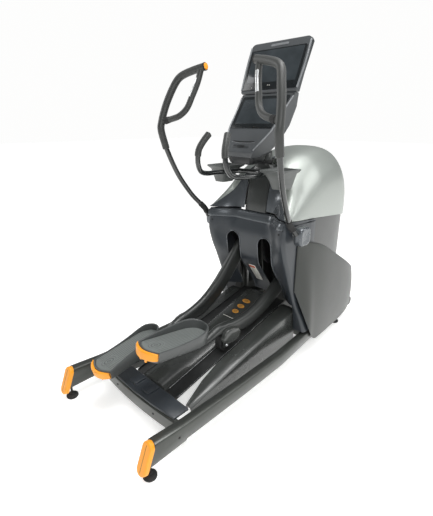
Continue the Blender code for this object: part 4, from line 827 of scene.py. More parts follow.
def tidy_edges():
    """Geometry node tree that welds a CAD solid's corners and shades it smooth up to an angle."""
    tree = bpy.data.node_groups.new("welded_smooth", "GeometryNodeTree")
    tree.interface.new_socket(name="Geometry", in_out="INPUT", socket_type="NodeSocketGeometry")
    tree.interface.new_socket(name="Geometry", in_out="OUTPUT", socket_type="NodeSocketGeometry")
    start = tree.nodes.new("NodeGroupInput")
    weld = tree.nodes.new("GeometryNodeMergeByDistance")
    weld.inputs["Distance"].default_value = WELD_DISTANCE
    smooth = tree.nodes.new("GeometryNodeSetShadeSmooth")
    smooth.domain = "FACE"
    turn = tree.nodes.new("GeometryNodeInputMeshEdgeAngle")
    sharp = tree.nodes.new("FunctionNodeCompare")
    sharp.data_type = "FLOAT"
    sharp.operation = "GREATER_THAN"
    sharp.inputs["B"].default_value = math.radians(34.0)
    crease = tree.nodes.new("GeometryNodeSetShadeSmooth")
    crease.domain = "EDGE"
    crease.inputs["Shade Smooth"].default_value = False
    end = tree.nodes.new("NodeGroupOutput")
    tree.links.new(start.outputs[0], weld.inputs["Geometry"])
    tree.links.new(weld.outputs[0], smooth.inputs["Geometry"])
    tree.links.new(smooth.outputs[0], crease.inputs["Geometry"])
    tree.links.new(turn.outputs["Unsigned Angle"], sharp.inputs["A"])
    tree.links.new(sharp.outputs[0], crease.inputs["Selection"])
    tree.links.new(crease.outputs[0], end.inputs[0])
    return tree


WELDED = tidy_edges()


BROKEN_EDGE = 0.0008


def carry_over(node, material):
    """A CAD node keeps its shape and gets its finish, welded shading and softly broken edges."""
    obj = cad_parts[node]
    for index in range(len(obj.data.materials)):
        obj.data.materials[index] = material
    if not obj.data.materials:
        obj.data.materials.append(material)
    weld = obj.modifiers.new("weld", "WELD")
    weld.merge_threshold = WELD_DISTANCE
    soften(obj, "broken_edges", BROKEN_EDGE, 2, 38.0, harden=False)
    shade = obj.modifiers.new("shade", "NODES")
    shade.node_group = WELDED


# ---------------------------------------------------------------- pedal arm frames

ARM_PITCH = math.radians(9.1)
PEDAL_X = 0.138
PEDAL_WIDTH = 0.160
PEDAL_LENGTH = 0.420
PEDAL_HEEL = -0.592
PEDAL_FLOOR = 0.064
PAD_TOP = 0.128
PEDAL_TOE = PEDAL_HEEL + PEDAL_LENGTH
HEEL_SETBACK = 0.022
HEEL_BOW = 0.030
TOE_ROUND = 0.120
TOE_POWER = 0.75
PAD_INSET = 0.0098
PAD_ROWS = 150
PAD_COLUMNS = 96
RIB_HEIGHT = 0.0013


def arm_frame(side, sign):
    """The arm's own frame: origin on the roller axle, +Y along the arm, +Z out of its top."""
    axle = box_middle(f"roller_axle_{side}")
    return Matrix.Translation((0.0, axle.y, axle.z)) @ Matrix.Rotation(-sign * ARM_PITCH, 4, "X")


ARM_FRAMES = {side: arm_frame(side, sign) for side, sign in SIDES}


def on_arm(side, x, along, up):
    return ARM_FRAMES[side] @ Vector((x, along, up))


def pedal_half(along, inset=0.0):
    """Half width of the pedal at a place along it."""
    half = PEDAL_WIDTH / 2 - inset
    toe = PEDAL_TOE - inset
    straight = toe - TOE_ROUND
    if along <= straight:
        return half
    share = min(1.0, (along - straight) / (toe - straight))
    turn = math.asin(min(1.0, share ** (1 / TOE_POWER)))
    return half * math.cos(turn)


def pedal_outline(inset, count=36):
    """(across, along) outline from the heel corners round the toe; across is + on the inner side."""
    half = PEDAL_WIDTH / 2 - inset
    heel = PEDAL_HEEL + HEEL_SETBACK + inset
    toe = PEDAL_TOE - inset
    straight = toe - TOE_ROUND
    points = [(-half, heel + HEEL_BOW + (straight - heel - HEEL_BOW) * i / 8) for i in range(9)]
    for i in range(1, count):
        turn = math.pi * i / count
        points.append((-half * math.cos(turn), straight + (toe - straight) * math.sin(turn) ** TOE_POWER))
    points += [(half, straight + (heel + HEEL_BOW - straight) * i / 8) for i in range(9)]
    for i in range(1, 12):
        across = half * (1 - 2 * i / 12)
        points.append((across, heel + HEEL_BOW * (across / half) ** 2))
    return points


def rim_height(across, along):
    """Height of the pedal's rim above the pad: high on the inner side and toe, low outside."""
    forward = clamp((along - (PEDAL_HEEL + 0.06)) / (PEDAL_TOE - PEDAL_HEEL - 0.10))
    inner = 0.5 + 0.5 * across / (PEDAL_WIDTH / 2)
    return 0.002 + 0.050 * inner * forward**0.7 + 0.030 * (1 - inner) * forward**3


def pedal_shell(side, sign):
    """Shoe-shaped tray with a rounded rim that rises towards the toe and the inner side."""
    floor_steps = ((0.026, 0.0), (0.016, 0.004), (0.004, 0.014), (0.0006, 0.026))
    rim_steps = ((0.0, -0.0030), (0.0010, -0.0008), (0.0028, 0.0), (0.0062, 0.0), (0.0080, -0.0010),
                 (0.0090, -0.0035))
    below_pad = PAD_TOP - 0.010
    steps = [(inset, lambda c, a, up=up: PEDAL_FLOOR + up) for inset, up in floor_steps]
    steps.append((0.0, lambda c, a: below_pad))
    steps += [(inset, lambda c, a, up=up: PAD_TOP + rim_height(c, a) + up) for inset, up in rim_steps]
    steps.append((0.0092, lambda c, a: below_pad))
    rings = []
    for inset, height in steps:
        rings.append([on_arm(side, sign * (PEDAL_X - c), a, height(c, a)) for c, a in pedal_outline(inset)])
    loft(f"pedal_tray_{side}", rings, f"{side}_arm", PEDAL_GREY, (f"pedal_shell_{side}",))


def pad_relief(share, along):
    """Share of full height, 0 to 1, of the tread's ribs at a place across and along the pad."""
    heel_mark = Vector(((share * 0.070) / 0.028, (along - (PEDAL_HEEL + 0.095)) / 0.042)).length
    if heel_mark < 1.0:
        return 0.5 + 0.5 * math.cos(heel_mark * 5 * math.pi)
    plain = min(1.0, (heel_mark - 1.0) / 0.25)
    plain *= clamp((along - (PEDAL_HEEL + 0.050)) / 0.02)
    plain *= clamp((PEDAL_TOE - 0.022 - along) / 0.02)
    wave = 0.5 + 0.5 * math.cos(share * 11 * math.pi + 0.9 * math.sin((along - PEDAL_HEEL) * 9.0))
    return 1 - plain * (1 - wave) ** 2


def pedal_pad(side, sign):
    """Cushioned tread with fine curved ribs and an oval heel mark."""
    heel = PEDAL_HEEL + HEEL_SETBACK + PAD_INSET
    toe = PEDAL_TOE - PAD_INSET
    bm = bmesh.new()
    rib = bm.verts.layers.float.new("rib")
    rows = []
    for i in range(PAD_ROWS + 1):
        row = []
        for j in range(PAD_COLUMNS + 1):
            share = -1 + 2 * j / PAD_COLUMNS
            start = heel + HEEL_BOW * share**2
            along = start + (toe - 0.0006 - start) * (i / PAD_ROWS)
            half = max(pedal_half(along, PAD_INSET), 0.0015)
            across = share * half
            rim = min(half * (1 - abs(share)), along - start, toe - along)
            rounding = 0.0022 * (1 - min(1.0, rim / 0.004)) ** 2
            level = pad_relief(share, along)
            height = PAD_TOP - 0.0010 + level * RIB_HEIGHT - rounding
            vert = bm.verts.new(on_arm(side, sign * (PEDAL_X - across), along, height))
            vert[rib] = level
            row.append(vert)
        rows.append(row)
    bridge(bm, rows, False)
    skirt = [edge for edge in bm.edges if edge.is_boundary]
    made = bmesh.ops.extrude_edge_only(bm, edges=skirt)
    low = [item for item in made["geom"] if isinstance(item, bmesh.types.BMVert)]
    down = ARM_FRAMES[side].to_3x3() @ Vector((0, 0, -0.0060))
    for vert in low:
        vert.co += down
    ring = [edge for edge in bm.edges if edge.is_boundary]
    bmesh.ops.contextual_create(bm, geom=ring)
    new_piece(f"pedal_tread_{side}", bm, f"{side}_arm", PAD, (f"pedal_pad_{side}",), smooth=60.0)


def pedal_bumper(side, sign):
    """Rounded orange strip round the heel, with two short tabs under it."""
    half = PEDAL_WIDTH / 2 + 0.0015
    heel = PEDAL_HEEL + HEEL_SETBACK
    low = PEDAL_FLOOR + 0.022
    high = PAD_TOP + 0.002
    rings = []
    count = 32
    for i in range(count + 1):
        share = -1 + 2 * i / count
        across = share * half
        curve = heel + HEEL_BOW * share**2
        outer = curve - 0.0195 + 0.0045 * share**2 + 0.006 * share**6
        inner = curve - 0.0008
        slim = 1.0 - 0.22 * abs(share) ** 8
        middle = (low + high) / 2 + 0.002 * share**2
        tall = (high - low) / 2 * slim
        ring = []
        for u, v in rounded_rect(inner - outer, 2 * tall, 0.0065, 4):
            along = (inner + outer) / 2 + u + (0.003 if v < 0 and u < 0 else 0.0) * abs(v) / tall
            ring.append(on_arm(side, sign * (PEDAL_X - across), along, middle + v))
        rings.append(ring)
    loft(f"heel_bumper_{side}", rings, f"{side}_arm", ORANGE, (f"pedal_bumper_{side}",))
    for index, across in enumerate((-0.018, 0.022)):
        middle_x = sign * (PEDAL_X - across)
        rings = []
        for depth, grow in ((0.004, 0.0), (-0.006, 0.0), (-0.009, -0.002)):
            outline = rounded_rect(0.013 + grow, 0.010 + grow, 0.003, 3)
            height = PEDAL_FLOOR + 0.012 + depth
            rings.append([on_arm(side, middle_x + u, heel + 0.006 + v, height) for u, v in outline])
        loft(f"bumper_tab_{side}_{index}", rings, f"{side}_arm", ORANGE)


# ---------------------------------------------------------------- handlebars

# Centreline of a handlebar from its pivot cap up to the sleeve's start
HANDLE_LOWER = (
    (0.3500, 1.068, 0.868),
    (0.3400, 1.045, 0.900),
    (0.3330, 1.018, 0.931),
    (0.3540, 0.956, 0.998),
    (0.3660, 0.919, 1.045),
    (0.3840, 0.857, 1.140),
    (0.3980, 0.812, 1.235),
    (0.4090, 0.777, 1.325),
)
# Outer grip from the sleeve's start to the end cap
HANDLE_GRIP = (
    (0.4080, 0.7820, 1.3100),
    (0.4155, 0.757, 1.410),
    (0.4140, 0.762, 1.460),
    (0.4000, 0.783, 1.540),
    (0.3770, 0.808, 1.615),
    (0.3520, 0.835, 1.676),
    (0.3180, 0.850, 1.703),
    (0.2500, 0.866, 1.722),
    (0.1640, 0.883, 1.738),
)
# Inner grip that closes the loop
HANDLE_INNER = (
    (0.4100, 0.766, 1.462),
    (0.3450, 0.779, 1.474),
    (0.2900, 0.795, 1.492),
    (0.2520, 0.816, 1.530),
    (0.2300, 0.836, 1.590),
    (0.2080, 0.858, 1.660),
    (0.1980, 0.876, 1.728),
)


TUBE_RADIUS = 0.0150
INNER_GRIP_RADIUS = 0.0168
CONTACT_RADIUS = 0.0126
CONTACT_OFFSET = 0.0050
# Shares of the inner grip's length between which the contact and its dark line run
CONTACT_SPAN = (0.615, 0.885)
CONTACT_LINE_SPAN = (0.620, 0.880)


def placed(points, sign):
    return [at(sign * x, y, z) for x, y, z in points]


def sleeve_radius(share):
    """Grip radius along the outer sleeve: a thin lip at its start, then full and even."""
    if share < 0.012:
        return 0.0205
    if share < 0.020:
        return 0.0190
    return 0.0210 - 0.0008 * share


def handlebar(side, sign):
    """Painted tube, rubber sleeves, heart-rate contact, collar and end cap of one handlebar."""
    body = f"{side}_handlebar"
    lower = smooth_path(placed(HANDLE_LOWER, sign), 0.008)
    sweep(f"handlebar_tube_{side}", lower, TUBE_RADIUS, body, TUBE_BLACK, (f"handlebar_{side}",))
    outer = smooth_path(placed(HANDLE_GRIP, sign), 0.006)
    sweep(f"grip_sleeve_{side}", part_of(outer, 0.0, 0.980), sleeve_radius, body, GRIP, soft=0.002)
    sweep(f"grip_end_ring_{side}", part_of(outer, 0.978, 0.992), 0.0208, body, RUBBER, soft=0.001)
    sweep(f"grip_end_cap_{side}", part_of(outer, 0.984, 1.0), 0.0172, body, ORANGE, soft=0.002)
    inner = smooth_path(placed(HANDLE_INNER, sign), 0.005)
    whole = part_of(inner, 0.03, 0.985)
    sweep(f"inner_grip_{side}", whole, INNER_GRIP_RADIUS, body, GRIP, soft=0.002)
    collar = part_of(inner, 0.055, 0.135)
    sweep(f"junction_collar_{side}", collar, lambda s: 0.0205 - 0.0032 * s, body, RUBBER,
          soft=0.0015)
    facing = Vector((sign * 0.25, -1.0, 0.0))
    strip = beside(part_of(inner, *CONTACT_SPAN), facing, CONTACT_OFFSET)
    sweep(f"contact_{side}", strip, CONTACT_RADIUS, body, CONTACT, soft=0.004)
    outward = Vector((sign * 0.85, -0.60, 0.0))
    groove = beside(part_of(inner, *CONTACT_LINE_SPAN), outward, 0.0166)
    sweep(f"contact_gap_{side}", groove, 0.0011, body, RUBBER, sides=10, soft=0.0004)


# One half of the fixed handlebar, from the clamp at the mast out and up to its tip
FIXED_BAR = (
    (0.000, 1.118, 1.180),
    (0.060, 1.106, 1.180),
    (0.108, 1.060, 1.180),
    (0.131, 0.980, 1.180),
    (0.131, 0.914, 1.182),
    (0.124, 0.840, 1.185),
    (0.113, 0.785, 1.200),
    (0.105, 0.757, 1.240),
    (0.100, 0.751, 1.286),
    (0.094, 0.756, 1.325),
    (0.081, 0.779, 1.366),
    (0.065, 0.807, 1.404),
)


def fixed_handlebar():
    """Bent bar in front of the mast with two upright rubber grips."""
    left = placed(FIXED_BAR, -1)[::-1]
    whole = left[:-1] + placed(FIXED_BAR, 1)
    path = smooth_path(whole, 0.008)
    bare = part_of(path, 0.10, 0.90)
    sweep("fixed_bar", bare, 0.0140, "frame", TUBE_BLACK, ("stationary_handlebar",))
    for side, sign in SIDES:
        half = smooth_path(placed(FIXED_BAR[6:], sign), 0.006)
        sweep(f"fixed_grip_{side}", part_of(half, 0.40, 1.0), 0.0178, "frame", GRIP, soft=0.014)


# ---------------------------------------------------------------- housing

# Side edge of the silver hood from front to back: y, z, half width, then its ridge: y, z
HOOD_STATIONS = (
    (1.030, 0.944, 0.300, 1.134, 0.948),
    (1.110, 0.932, 0.306, 1.152, 1.065),
    (1.230, 0.918, 0.298, 1.200, 1.190),
    (1.370, 0.903, 0.284, 1.340, 1.270),
    (1.520, 0.884, 0.270, 1.500, 1.306),
    (1.670, 0.864, 0.252, 1.650, 1.312),
    (1.800, 0.845, 0.232, 1.790, 1.285),
    (1.910, 0.828, 0.205, 1.910, 1.205),
    (1.990, 0.818, 0.160, 1.995, 1.090),
    (2.032, 0.812, 0.095, 2.040, 0.950),
    (2.046, 0.810, 0.030, 2.052, 0.850),
)
SHOULDER_FLAT_X = 0.120
SHOULDER_END_X = 0.280
NOTCH_X = 0.085
NOTCH_BACK_Y = 1.290


def plan_step(x, flat, end):
    """0 on the middle stretch, 1 at the outer faces, with an S-curve between them."""
    t = clamp((abs(x) - flat) / (end - flat))
    return t * t * (3 - 2 * t)


def hood_point(row, turn):
    """A point of the hood's outer face: a station row and a turn from side to side."""
    edge_y, edge_z, half, ridge_y, ridge_z = row
    roundness = 0.62 + 0.38 * clamp((1.450 - edge_y) / 0.22)
    across = math.copysign(abs(math.sin(turn)) ** 0.72, turn)
    lift = math.cos(turn) ** roundness if abs(turn) < math.pi / 2 - 1e-6 else 0.0
    front = clamp((1.300 - edge_y) / 0.200)
    level = 1 - plan_step(half * across, SHOULDER_FLAT_X, SHOULDER_END_X)
    y = edge_y + (ridge_y - edge_y) * (front * level + (1 - front) * lift)
    return at(half * across, y, edge_z + (ridge_z - edge_z) * lift)


# The seam between the slate shoulder and the silver hood lies in one sloping plane a side
SEAM_POINT = (0.300, 1.020, 0.944)
SEAM_NORMAL = (0.280, 0.194, 0.086)


def hood_part(name, material, silver, replaces=()):
    """The hood's wall on one side of the seam, open in front where the mast comes out."""
    bm = bmesh.new()
    rows = []
    for station in smooth_table(HOOD_STATIONS, 5):
        row = [bm.verts.new(hood_point(station, math.pi * (i / 72 - 0.5))) for i in range(73)]
        rows.append(row)
    bridge(bm, rows, False)
    bmesh.ops.remove_doubles(bm, verts=bm.verts, dist=0.00005)

    def split(point, normal):
        whole = list(bm.verts) + list(bm.edges) + list(bm.faces)
        bmesh.ops.bisect_plane(bm, geom=whole, dist=0.00001, plane_co=point, plane_no=normal)

    for sign in (1, -1):
        split(at(sign * NOTCH_X, 0.0, 0.0), (1, 0, 0))
        across, y, z = SEAM_POINT
        split(at(sign * across, y, z), Vector((sign * SEAM_NORMAL[0], *SEAM_NORMAL[1:])))
    split(at(0.0, NOTCH_BACK_Y, 0.0), (0, 1, 0))
    gone = []
    for face in bm.faces:
        middle = face.calc_center_median()
        in_notch = abs(middle.x) < NOTCH_X and middle.y < NOTCH_BACK_Y + STATION_Y
        folded = Vector((abs(middle.x), middle.y, middle.z)) - at(*SEAM_POINT)
        on_silver = folded.dot(Vector(SEAM_NORMAL)) > 0
        if in_notch or on_silver != silver:
            gone.append(face)
    bmesh.ops.delete(bm, geom=gone, context="FACES")
    bmesh.ops.recalc_face_normals(bm, faces=bm.faces)
    upward = sum((face.normal.z * face.calc_area() for face in bm.faces), 0.0)
    if upward < 0:
        bmesh.ops.reverse_faces(bm, faces=bm.faces)
    wall_from_grid(name, bm, "frame", material, replaces)


def hood():
    hood_part("hood", SILVER, True, ("top_cover",))
    hood_part("hood_shoulders", SLATE_GLOSS_PAINTED_HIGHLIGHT, False)


# Rear-facing panel from the top down: z, y in the middle, y and x at its outer corner
PANEL_STATIONS = (
    (0.9375, 1.134, 1.030, 0.3000),
    (0.920, 1.122, 1.026, 0.3000),
    (0.870, 1.096, 1.020, 0.3000),
    (0.800, 1.078, 1.016, 0.3000),
    (0.700, 1.084, 1.046, 0.3000),
    (0.620, 1.100, 1.082, 0.3000),
    (0.520, 1.172, 1.122, 0.3000),
    (0.430, 1.236, 1.160, 0.3030),
    (0.360, 1.262, 1.186, 0.3100),
    (0.280, 1.266, 1.205, 0.3380),
    (0.185, 1.270, 1.215, 0.3620),
)
PANEL_FLOOR_Z = 0.366
PANEL_BACK_Y = 1.355
PANEL_CORNER_X = 0.020
PANEL_CORNER_Y = 0.030
PANEL_COLUMNS = 16
SLOT_INNER_X = 0.072
SLOT_OUTER_X = 0.178
SLOT_TOP_Z = 0.800


def panel_face(x, z, mid_y, side_y):
    """Station of the outer face, from those in the middle and at the corner of the same row."""
    flat = 0.150 - 0.030 * clamp((z - SLOT_TOP_Z) / 0.070)
    return mid_y + (side_y - mid_y) * plan_step(x, flat, SHOULDER_END_X)


def panel_y(x, z):
    """Station of the panel's outer face at a place across it and a height."""
    mid_y, side_y, _ = between(sorted(smooth_table(PANEL_STATIONS, 6)), z)
    return panel_face(x, z, mid_y, side_y)


def front_panel():
    """Moulded rear-facing wall with side returns and a lipped slot for each arm."""
    rows = []
    for z, mid_y, side_y, side_x in smooth_table(PANEL_STATIONS, 5):
        half = [(side_x, PANEL_BACK_Y), (side_x, 1.300)]
        for i in range(8):
            turn = math.radians(90 * i / 7)
            x = side_x - PANEL_CORNER_X * (1 - math.cos(turn))
            half.append((x, side_y + PANEL_CORNER_Y * (1 - math.sin(turn))))
        for i in range(1, PANEL_COLUMNS):
            x = (side_x - PANEL_CORNER_X) * (1 - i / PANEL_COLUMNS)
            half.append((x, panel_face(x, z, mid_y, side_y)))
        row = []
        for x, y in [*[(-x, y) for x, y in half], (0.0, mid_y), *half[::-1]]:
            drop = 0.0
            if z > 0.90 and abs(x) > side_x - 0.012:
                drop = (0.003 + 0.098 * (y - 1.030)) * clamp((z - 0.90) / 0.02)
            row.append(at(x, y, z - drop))
        rows.append(row)
    panel = sheet("front_panel_skin", rows, "frame", SLATE, ("front_panel",),
                  outward=(0, -1, 0))
    width = SLOT_OUTER_X - SLOT_INNER_X
    cutters = [block("ramp_opening", (-0.283, 1.000, 0.100), (0.283, 1.290, PANEL_FLOOR_Z))]
    for side, sign in SIDES:
        middle = sign * (SLOT_INNER_X + SLOT_OUTER_X) / 2
        outline = slot_outline(width, PANEL_FLOOR_Z - 0.020)
        rings = [[at(middle + u, y, v) for u, v in outline] for y in (0.98, 1.40)]
        cutters.append(loft(f"slot_cutter_{side}", rings, "frame", SLATE))
        outline = slot_outline(width + 0.002, PANEL_FLOOR_Z + 0.002)
        lip = [at(middle + u, panel_y(middle + u, v) - 0.0005, v) for u, v in outline]
        sweep(f"slot_lip_{side}", lip, 0.0034, "frame", SLATE_GLOSS_PAINTED_HIGHLIGHT, sides=12, soft=0.001)
    carve(panel, cutters)


def slot_outline(width, foot, steps=20):
    """(across, height) points of an arm slot from one foot round its top to the other."""
    radius = width / 2
    top = SLOT_TOP_Z - (SLOT_OUTER_X - SLOT_INNER_X) / 2
    points = [(radius, foot + (top - foot) * i / 14) for i in range(14)]
    for i in range(steps + 1):
        turn = math.pi * i / steps
        points.append((radius * math.cos(turn), top + radius * math.sin(turn)))
    points += [(-radius, top + (foot - top) * i / 14) for i in range(1, 15)]
    return points


BROW_HALF = 0.292
BROW_Z = 0.908


def brow():
    """Glossy moulded strip along the top of the front panel, from shoulder to shoulder. Its lighter slate is
    a painted highlight.
    """
    rings = []
    count = 60
    for i in range(count + 1):
        x = BROW_HALF * (-1 + 2 * i / count)
        y = panel_y(x, 0.915)
        tall = 0.027 - 0.006 * abs(x / BROW_HALF) ** 4
        ring = []
        for u, v in rounded_rect(0.016, 2 * tall, 0.0070, 5):
            lean = 0.35 * v - 0.006 * (1 - (v / tall) ** 2)
            ring.append(at(x, y + 0.001 + u + lean, BROW_Z + v))
        rings.append(ring)
    loft("brow_strip", rings, "frame", SLATE_GLOSS_PAINTED_HIGHLIGHT, smooth=50.0)


REAR_SHELL_INSET = 0.010
REAR_SHELL_FOOT_Z = 0.300


def rear_shell():
    """Dark glossy wrap below the hood, round the back of the drive."""
    inset = REAR_SHELL_INSET
    edges = smooth_table(HOOD_STATIONS[3:], 5)
    rows = []
    for step in range(13):
        level = step / 12
        shrink = 0.016 * max(0.0, (level - 0.55) / 0.45) ** 2
        row = []
        for side in (-1, 1):
            for y, z, half, _, _ in edges if side < 0 else edges[::-1]:
                top = z - 0.003
                height = top + (REAR_SHELL_FOOT_Z - top) * level
                back = y - inset * clamp((y - 1.80) / 0.12) - shrink
                row.append(at(side * (max(half, 0.028) - inset - shrink), back, height))
        rows.append(row)
    sheet("rear_wrap", rows, "frame", DARK_GLOSS, ("rear_shell",), outward=(0, 1, 0))


# Lower side cover: station y, lower edge z, its x, upper edge z, its x
LEAF_STATIONS = (
    (1.165, 0.470, 0.310, 0.800, 0.309),
    (1.250, 0.215, 0.376, 0.776, 0.316),
    (1.330, 0.105, 0.377, 0.755, 0.322),
    (1.450, 0.086, 0.368, 0.712, 0.324),
    (1.600, 0.076, 0.352, 0.632, 0.320),
    (1.760, 0.066, 0.334, 0.545, 0.312),
    (1.900, 0.066, 0.316, 0.468, 0.298),
    (2.000, 0.085, 0.298, 0.412, 0.280),
    (2.060, 0.130, 0.280, 0.372, 0.262),
    (2.085, 0.200, 0.262, 0.320, 0.255),
)


def leaf_cover(side, sign):
    """Bulged leaf-shaped cover with a rolled upper edge."""
    table = smooth_table(LEAF_STATIONS, 5)
    rows = []
    last = len(table) - 1
    columns = 24
    for index, (y, low, low_x, high, high_x) in enumerate(table):
        swell = math.sin(math.pi * (index + 1.5) / (last + 3))
        row = []
        for i in range(columns + 1):
            t = i / columns
            bulge = 0.016 * math.sin(math.pi * t) * swell
            row.append((low_x + (high_x - low_x) * t + bulge, low + (high - low) * t))
        x, z = row[-1]
        reach = min(0.050, max(0.006, x - 0.262))
        for turn in (math.radians(angle) for angle in (25, 50, 75, 90)):
            row.append((x - 0.008 + 0.008 * math.cos(turn), z + 0.006 * math.sin(turn)))
        row.append((x - reach, z + 0.004))
        rows.append([at(sign * across, y, height) for across, height in row])
    lead = []
    for depth, back in ((0.0105, 0.0020), (0.0070, 0.0035), (0.0030, 0.0030)):
        lead.append([point + Vector((-sign * depth, -back, 0.0)) for point in rows[0]])
    rows = lead + rows
    sheet(f"leaf_cover_{side}", rows, "frame", SATIN_GREY,
          (f"lower_side_cover_{side}",), outward=(sign, 0, 0))


# ---------------------------------------------------------------- pedal arms

# Upper edge and depth of an arm's beam along its own axis
ARM_TOP = (
    (-0.400, 0.058, 0.030),
    (-0.200, 0.060, 0.036),
    (-0.120, 0.090, 0.050),
    (-0.060, 0.118, 0.062),
    (0.000, 0.127, 0.068),
    (0.060, 0.129, 0.072),
    (0.120, 0.136, 0.092),
    (0.200, 0.156, 0.100),
    (0.300, 0.205, 0.105),
    (0.400, 0.274, 0.108),
    (0.500, 0.354, 0.108),
    (0.600, 0.428, 0.104),
    (0.680, 0.480, 0.090),
    (0.760, 0.505, 0.075),
)
ARM_X = 0.133
ARM_WIDTH = 0.052
FORK_INNER = 0.0265
FORK_OUTER = 0.0330


def arm_beam(side, sign):
    """Tall oval beam from under the pedal, over the roller and up to the crank."""
    table = smooth_table(ARM_TOP, 6)
    rings = []
    last = len(table) - 1
    for index, (along, top, depth) in enumerate(table):
        ahead = table[min(index + 1, last)]
        behind = table[max(index - 1, 0)]
        slope = math.atan2(ahead[1] - behind[1], ahead[0] - behind[0])
        ring = []
        for u, v in rounded_rect(ARM_WIDTH, depth, min(0.0245, depth * 0.46), 6):
            lower = v - depth / 2
            place = along - lower * math.sin(slope)
            ring.append(on_arm(side, sign * ARM_X + u, place, top + lower * math.cos(slope)))
        rings.append(ring)
    loft(f"arm_beam_{side}", rings, f"{side}_arm", ARM_BLACK, (f"pedal_arm_{side}",),
         smooth=60.0)


def roller_fork(side, sign):
    """Two rounded cheeks under the beam, with the roller's axle nut outside."""
    steps = ((FORK_INNER, -0.001), (FORK_INNER + 0.001, 0.0), (FORK_OUTER - 0.001, 0.0), (FORK_OUTER, -0.001))
    for edge, name in ((-1, "inner"), (1, "outer")):
        rings = []
        for depth, grow in steps:
            outline = rounded_rect(0.060 + 2 * grow, 0.092 + 2 * grow, 0.018, 6)
            x = sign * (ARM_X + edge * depth)
            rings.append([on_arm(side, x, u, 0.030 + v) for u, v in outline])
        loft(f"fork_cheek_{name}_{side}", rings, f"{side}_arm", ARM_BLACK)
    bolt = on_arm(side, sign * (ARM_X + FORK_OUTER), 0.0, 0.0)
    nut = ((-0.001, 0.0105), (0.004, 0.0105), (0.0055, 0.0092), (0.0055, 0.0050), (0.0035, 0.0045))
    turned(f"axle_nut_{side}", bolt, (sign, 0, 0), nut, f"{side}_arm", STEEL, sides=6, smooth=20.0)


# (along, up) corners of the roller hood, and its (depth, share of the outline kept) steps
ROLLER_HOOD_OUTLINE = (
    (-0.047, 0.052),
    (-0.036, 0.020),
    (0.010, 0.010),
    (0.066, 0.018),
    (0.096, 0.044),
    (0.090, 0.086),
    (0.040, 0.104),
    (-0.020, 0.094),
)
ROLLER_HOOD_DOME = (
    (0.0240, 1.0),
    (0.0400, 1.0),
    (0.0460, 0.97),
    (0.0500, 0.90),
    (0.0520, 0.78),
    (0.0525, 0.40),
)


def roller_hood(side, sign):
    """Rounded cover outboard of the roller, with its bolt under it."""
    outline = smooth_loop(ROLLER_HOOD_OUTLINE, 7)
    middle = Vector((0.025, 0.056))
    rings = []
    for depth, keep in ROLLER_HOOD_DOME:
        ring = []
        for a, b in outline:
            along, up = middle + (Vector((a, b)) - middle) * keep
            ring.append(on_arm(side, sign * (ARM_X + depth), along, up))
        rings.append(ring)
    loft(f"roller_hood_{side}", rings, f"{side}_arm", RAMP_GREY, smooth=60.0)
    foot = on_arm(side, sign * (ARM_X + 0.042), 0.072, 0.012)
    down = ARM_FRAMES[side].to_3x3() @ Vector((0, 0, -1))
    peg = ((-0.004, 0.0060), (0.006, 0.0060), (0.008, 0.0050), (0.008, 0.0030))
    turned(f"hood_bolt_{side}", foot, down, peg, f"{side}_arm", RUBBER, sides=18)


PIVOT_BLOCK_Y = 1.125
PIVOT_BLOCK_Z = 0.851
PIVOT_HALF_LONG = 0.0525
PIVOT_HALF_TALL = 0.0550
PIVOT_SQUARENESS = 0.52
# (x, share of the outline kept) from the shoulder out to the dished middle
PIVOT_DOME = (
    (0.330, 0.96),
    (0.333, 1.00),
    (0.352, 1.00),
    (0.364, 0.985),
    (0.372, 0.94),
    (0.3765, 0.87),
    (0.3775, 0.78),
    (0.3755, 0.62),
    (0.3745, 0.30),
)


def squared(value):
    """A cosine or sine pushed outwards, which makes a circle squarer."""
    return math.copysign(abs(value) ** PIVOT_SQUARENESS, value)


def pivot_cap(side, sign):
    """Rounded block outside the shoulder, with a softly dished outer face."""
    body = f"{side}_handlebar"
    rings = []
    for x, keep in PIVOT_DOME:
        ring = []
        for i in range(56):
            turn = 2 * math.pi * i / 56
            u = squared(math.cos(turn)) * PIVOT_HALF_LONG * keep
            v = squared(math.sin(turn)) * PIVOT_HALF_TALL * keep
            ring.append(at(sign * x, PIVOT_BLOCK_Y + u, PIVOT_BLOCK_Z + v))
        rings.append(ring)
    loft(f"pivot_block_{side}", rings, body, SLATE_GLOSS_PAINTED_HIGHLIGHT, (f"pivot_cap_{side}",), smooth=60.0)
    path = smooth_path(placed(HANDLE_LOWER[1:4], sign), 0.004)
    sweep(f"pivot_sleeve_{side}", part_of(path, 0.0, 0.62), 0.0182, body, RUBBER, soft=0.002)


# ---------------------------------------------------------------- console

DECK_ANGLE = math.atan2(0.104, 0.086)
BUTTON_Y = 0.985
BUTTON_Z = 1.3309
LOWER_ANGLE = math.atan2(0.1715, 0.1400)
ACROSS = Vector((1, 0, 0))

# Outline in the middle plane with the half width at each point
LOWER_SHELL = (
    (0.996, 1.262, 0.084),
    (0.972, 1.272, 0.094),
    (0.963, 1.301, 0.100),
    (0.971, 1.314, 0.102),
    (1.057, 1.418, 0.157),
    (1.132, 1.509, 0.171),
    (1.208, 1.603, 0.189),
    (1.211, 1.6125, 0.192),
    (1.258, 1.6125, 0.182),
    (1.262, 1.540, 0.172),
    (1.225, 1.440, 0.158),
    (1.165, 1.350, 0.136),
    (1.110, 1.296, 0.108),
)
UPPER_SHELL = (
    (1.211, 1.6140, 0.192),
    (1.206, 1.6240, 0.198),
    (1.3065, 1.870, 0.2048),
    (1.3110, 1.882, 0.2020),
    (1.3140, 1.889, 0.1960),
    (1.3165, 1.893, 0.1860),
    (1.3190, 1.895, 0.1740),
    (1.3400, 1.896, 0.1720),
    (1.3480, 1.890, 0.1860),
    (1.3480, 1.879, 0.1950),
    (1.3440, 1.868, 0.1970),
    (1.2900, 1.720, 0.1900),
    (1.2580, 1.6140, 0.1820),
)


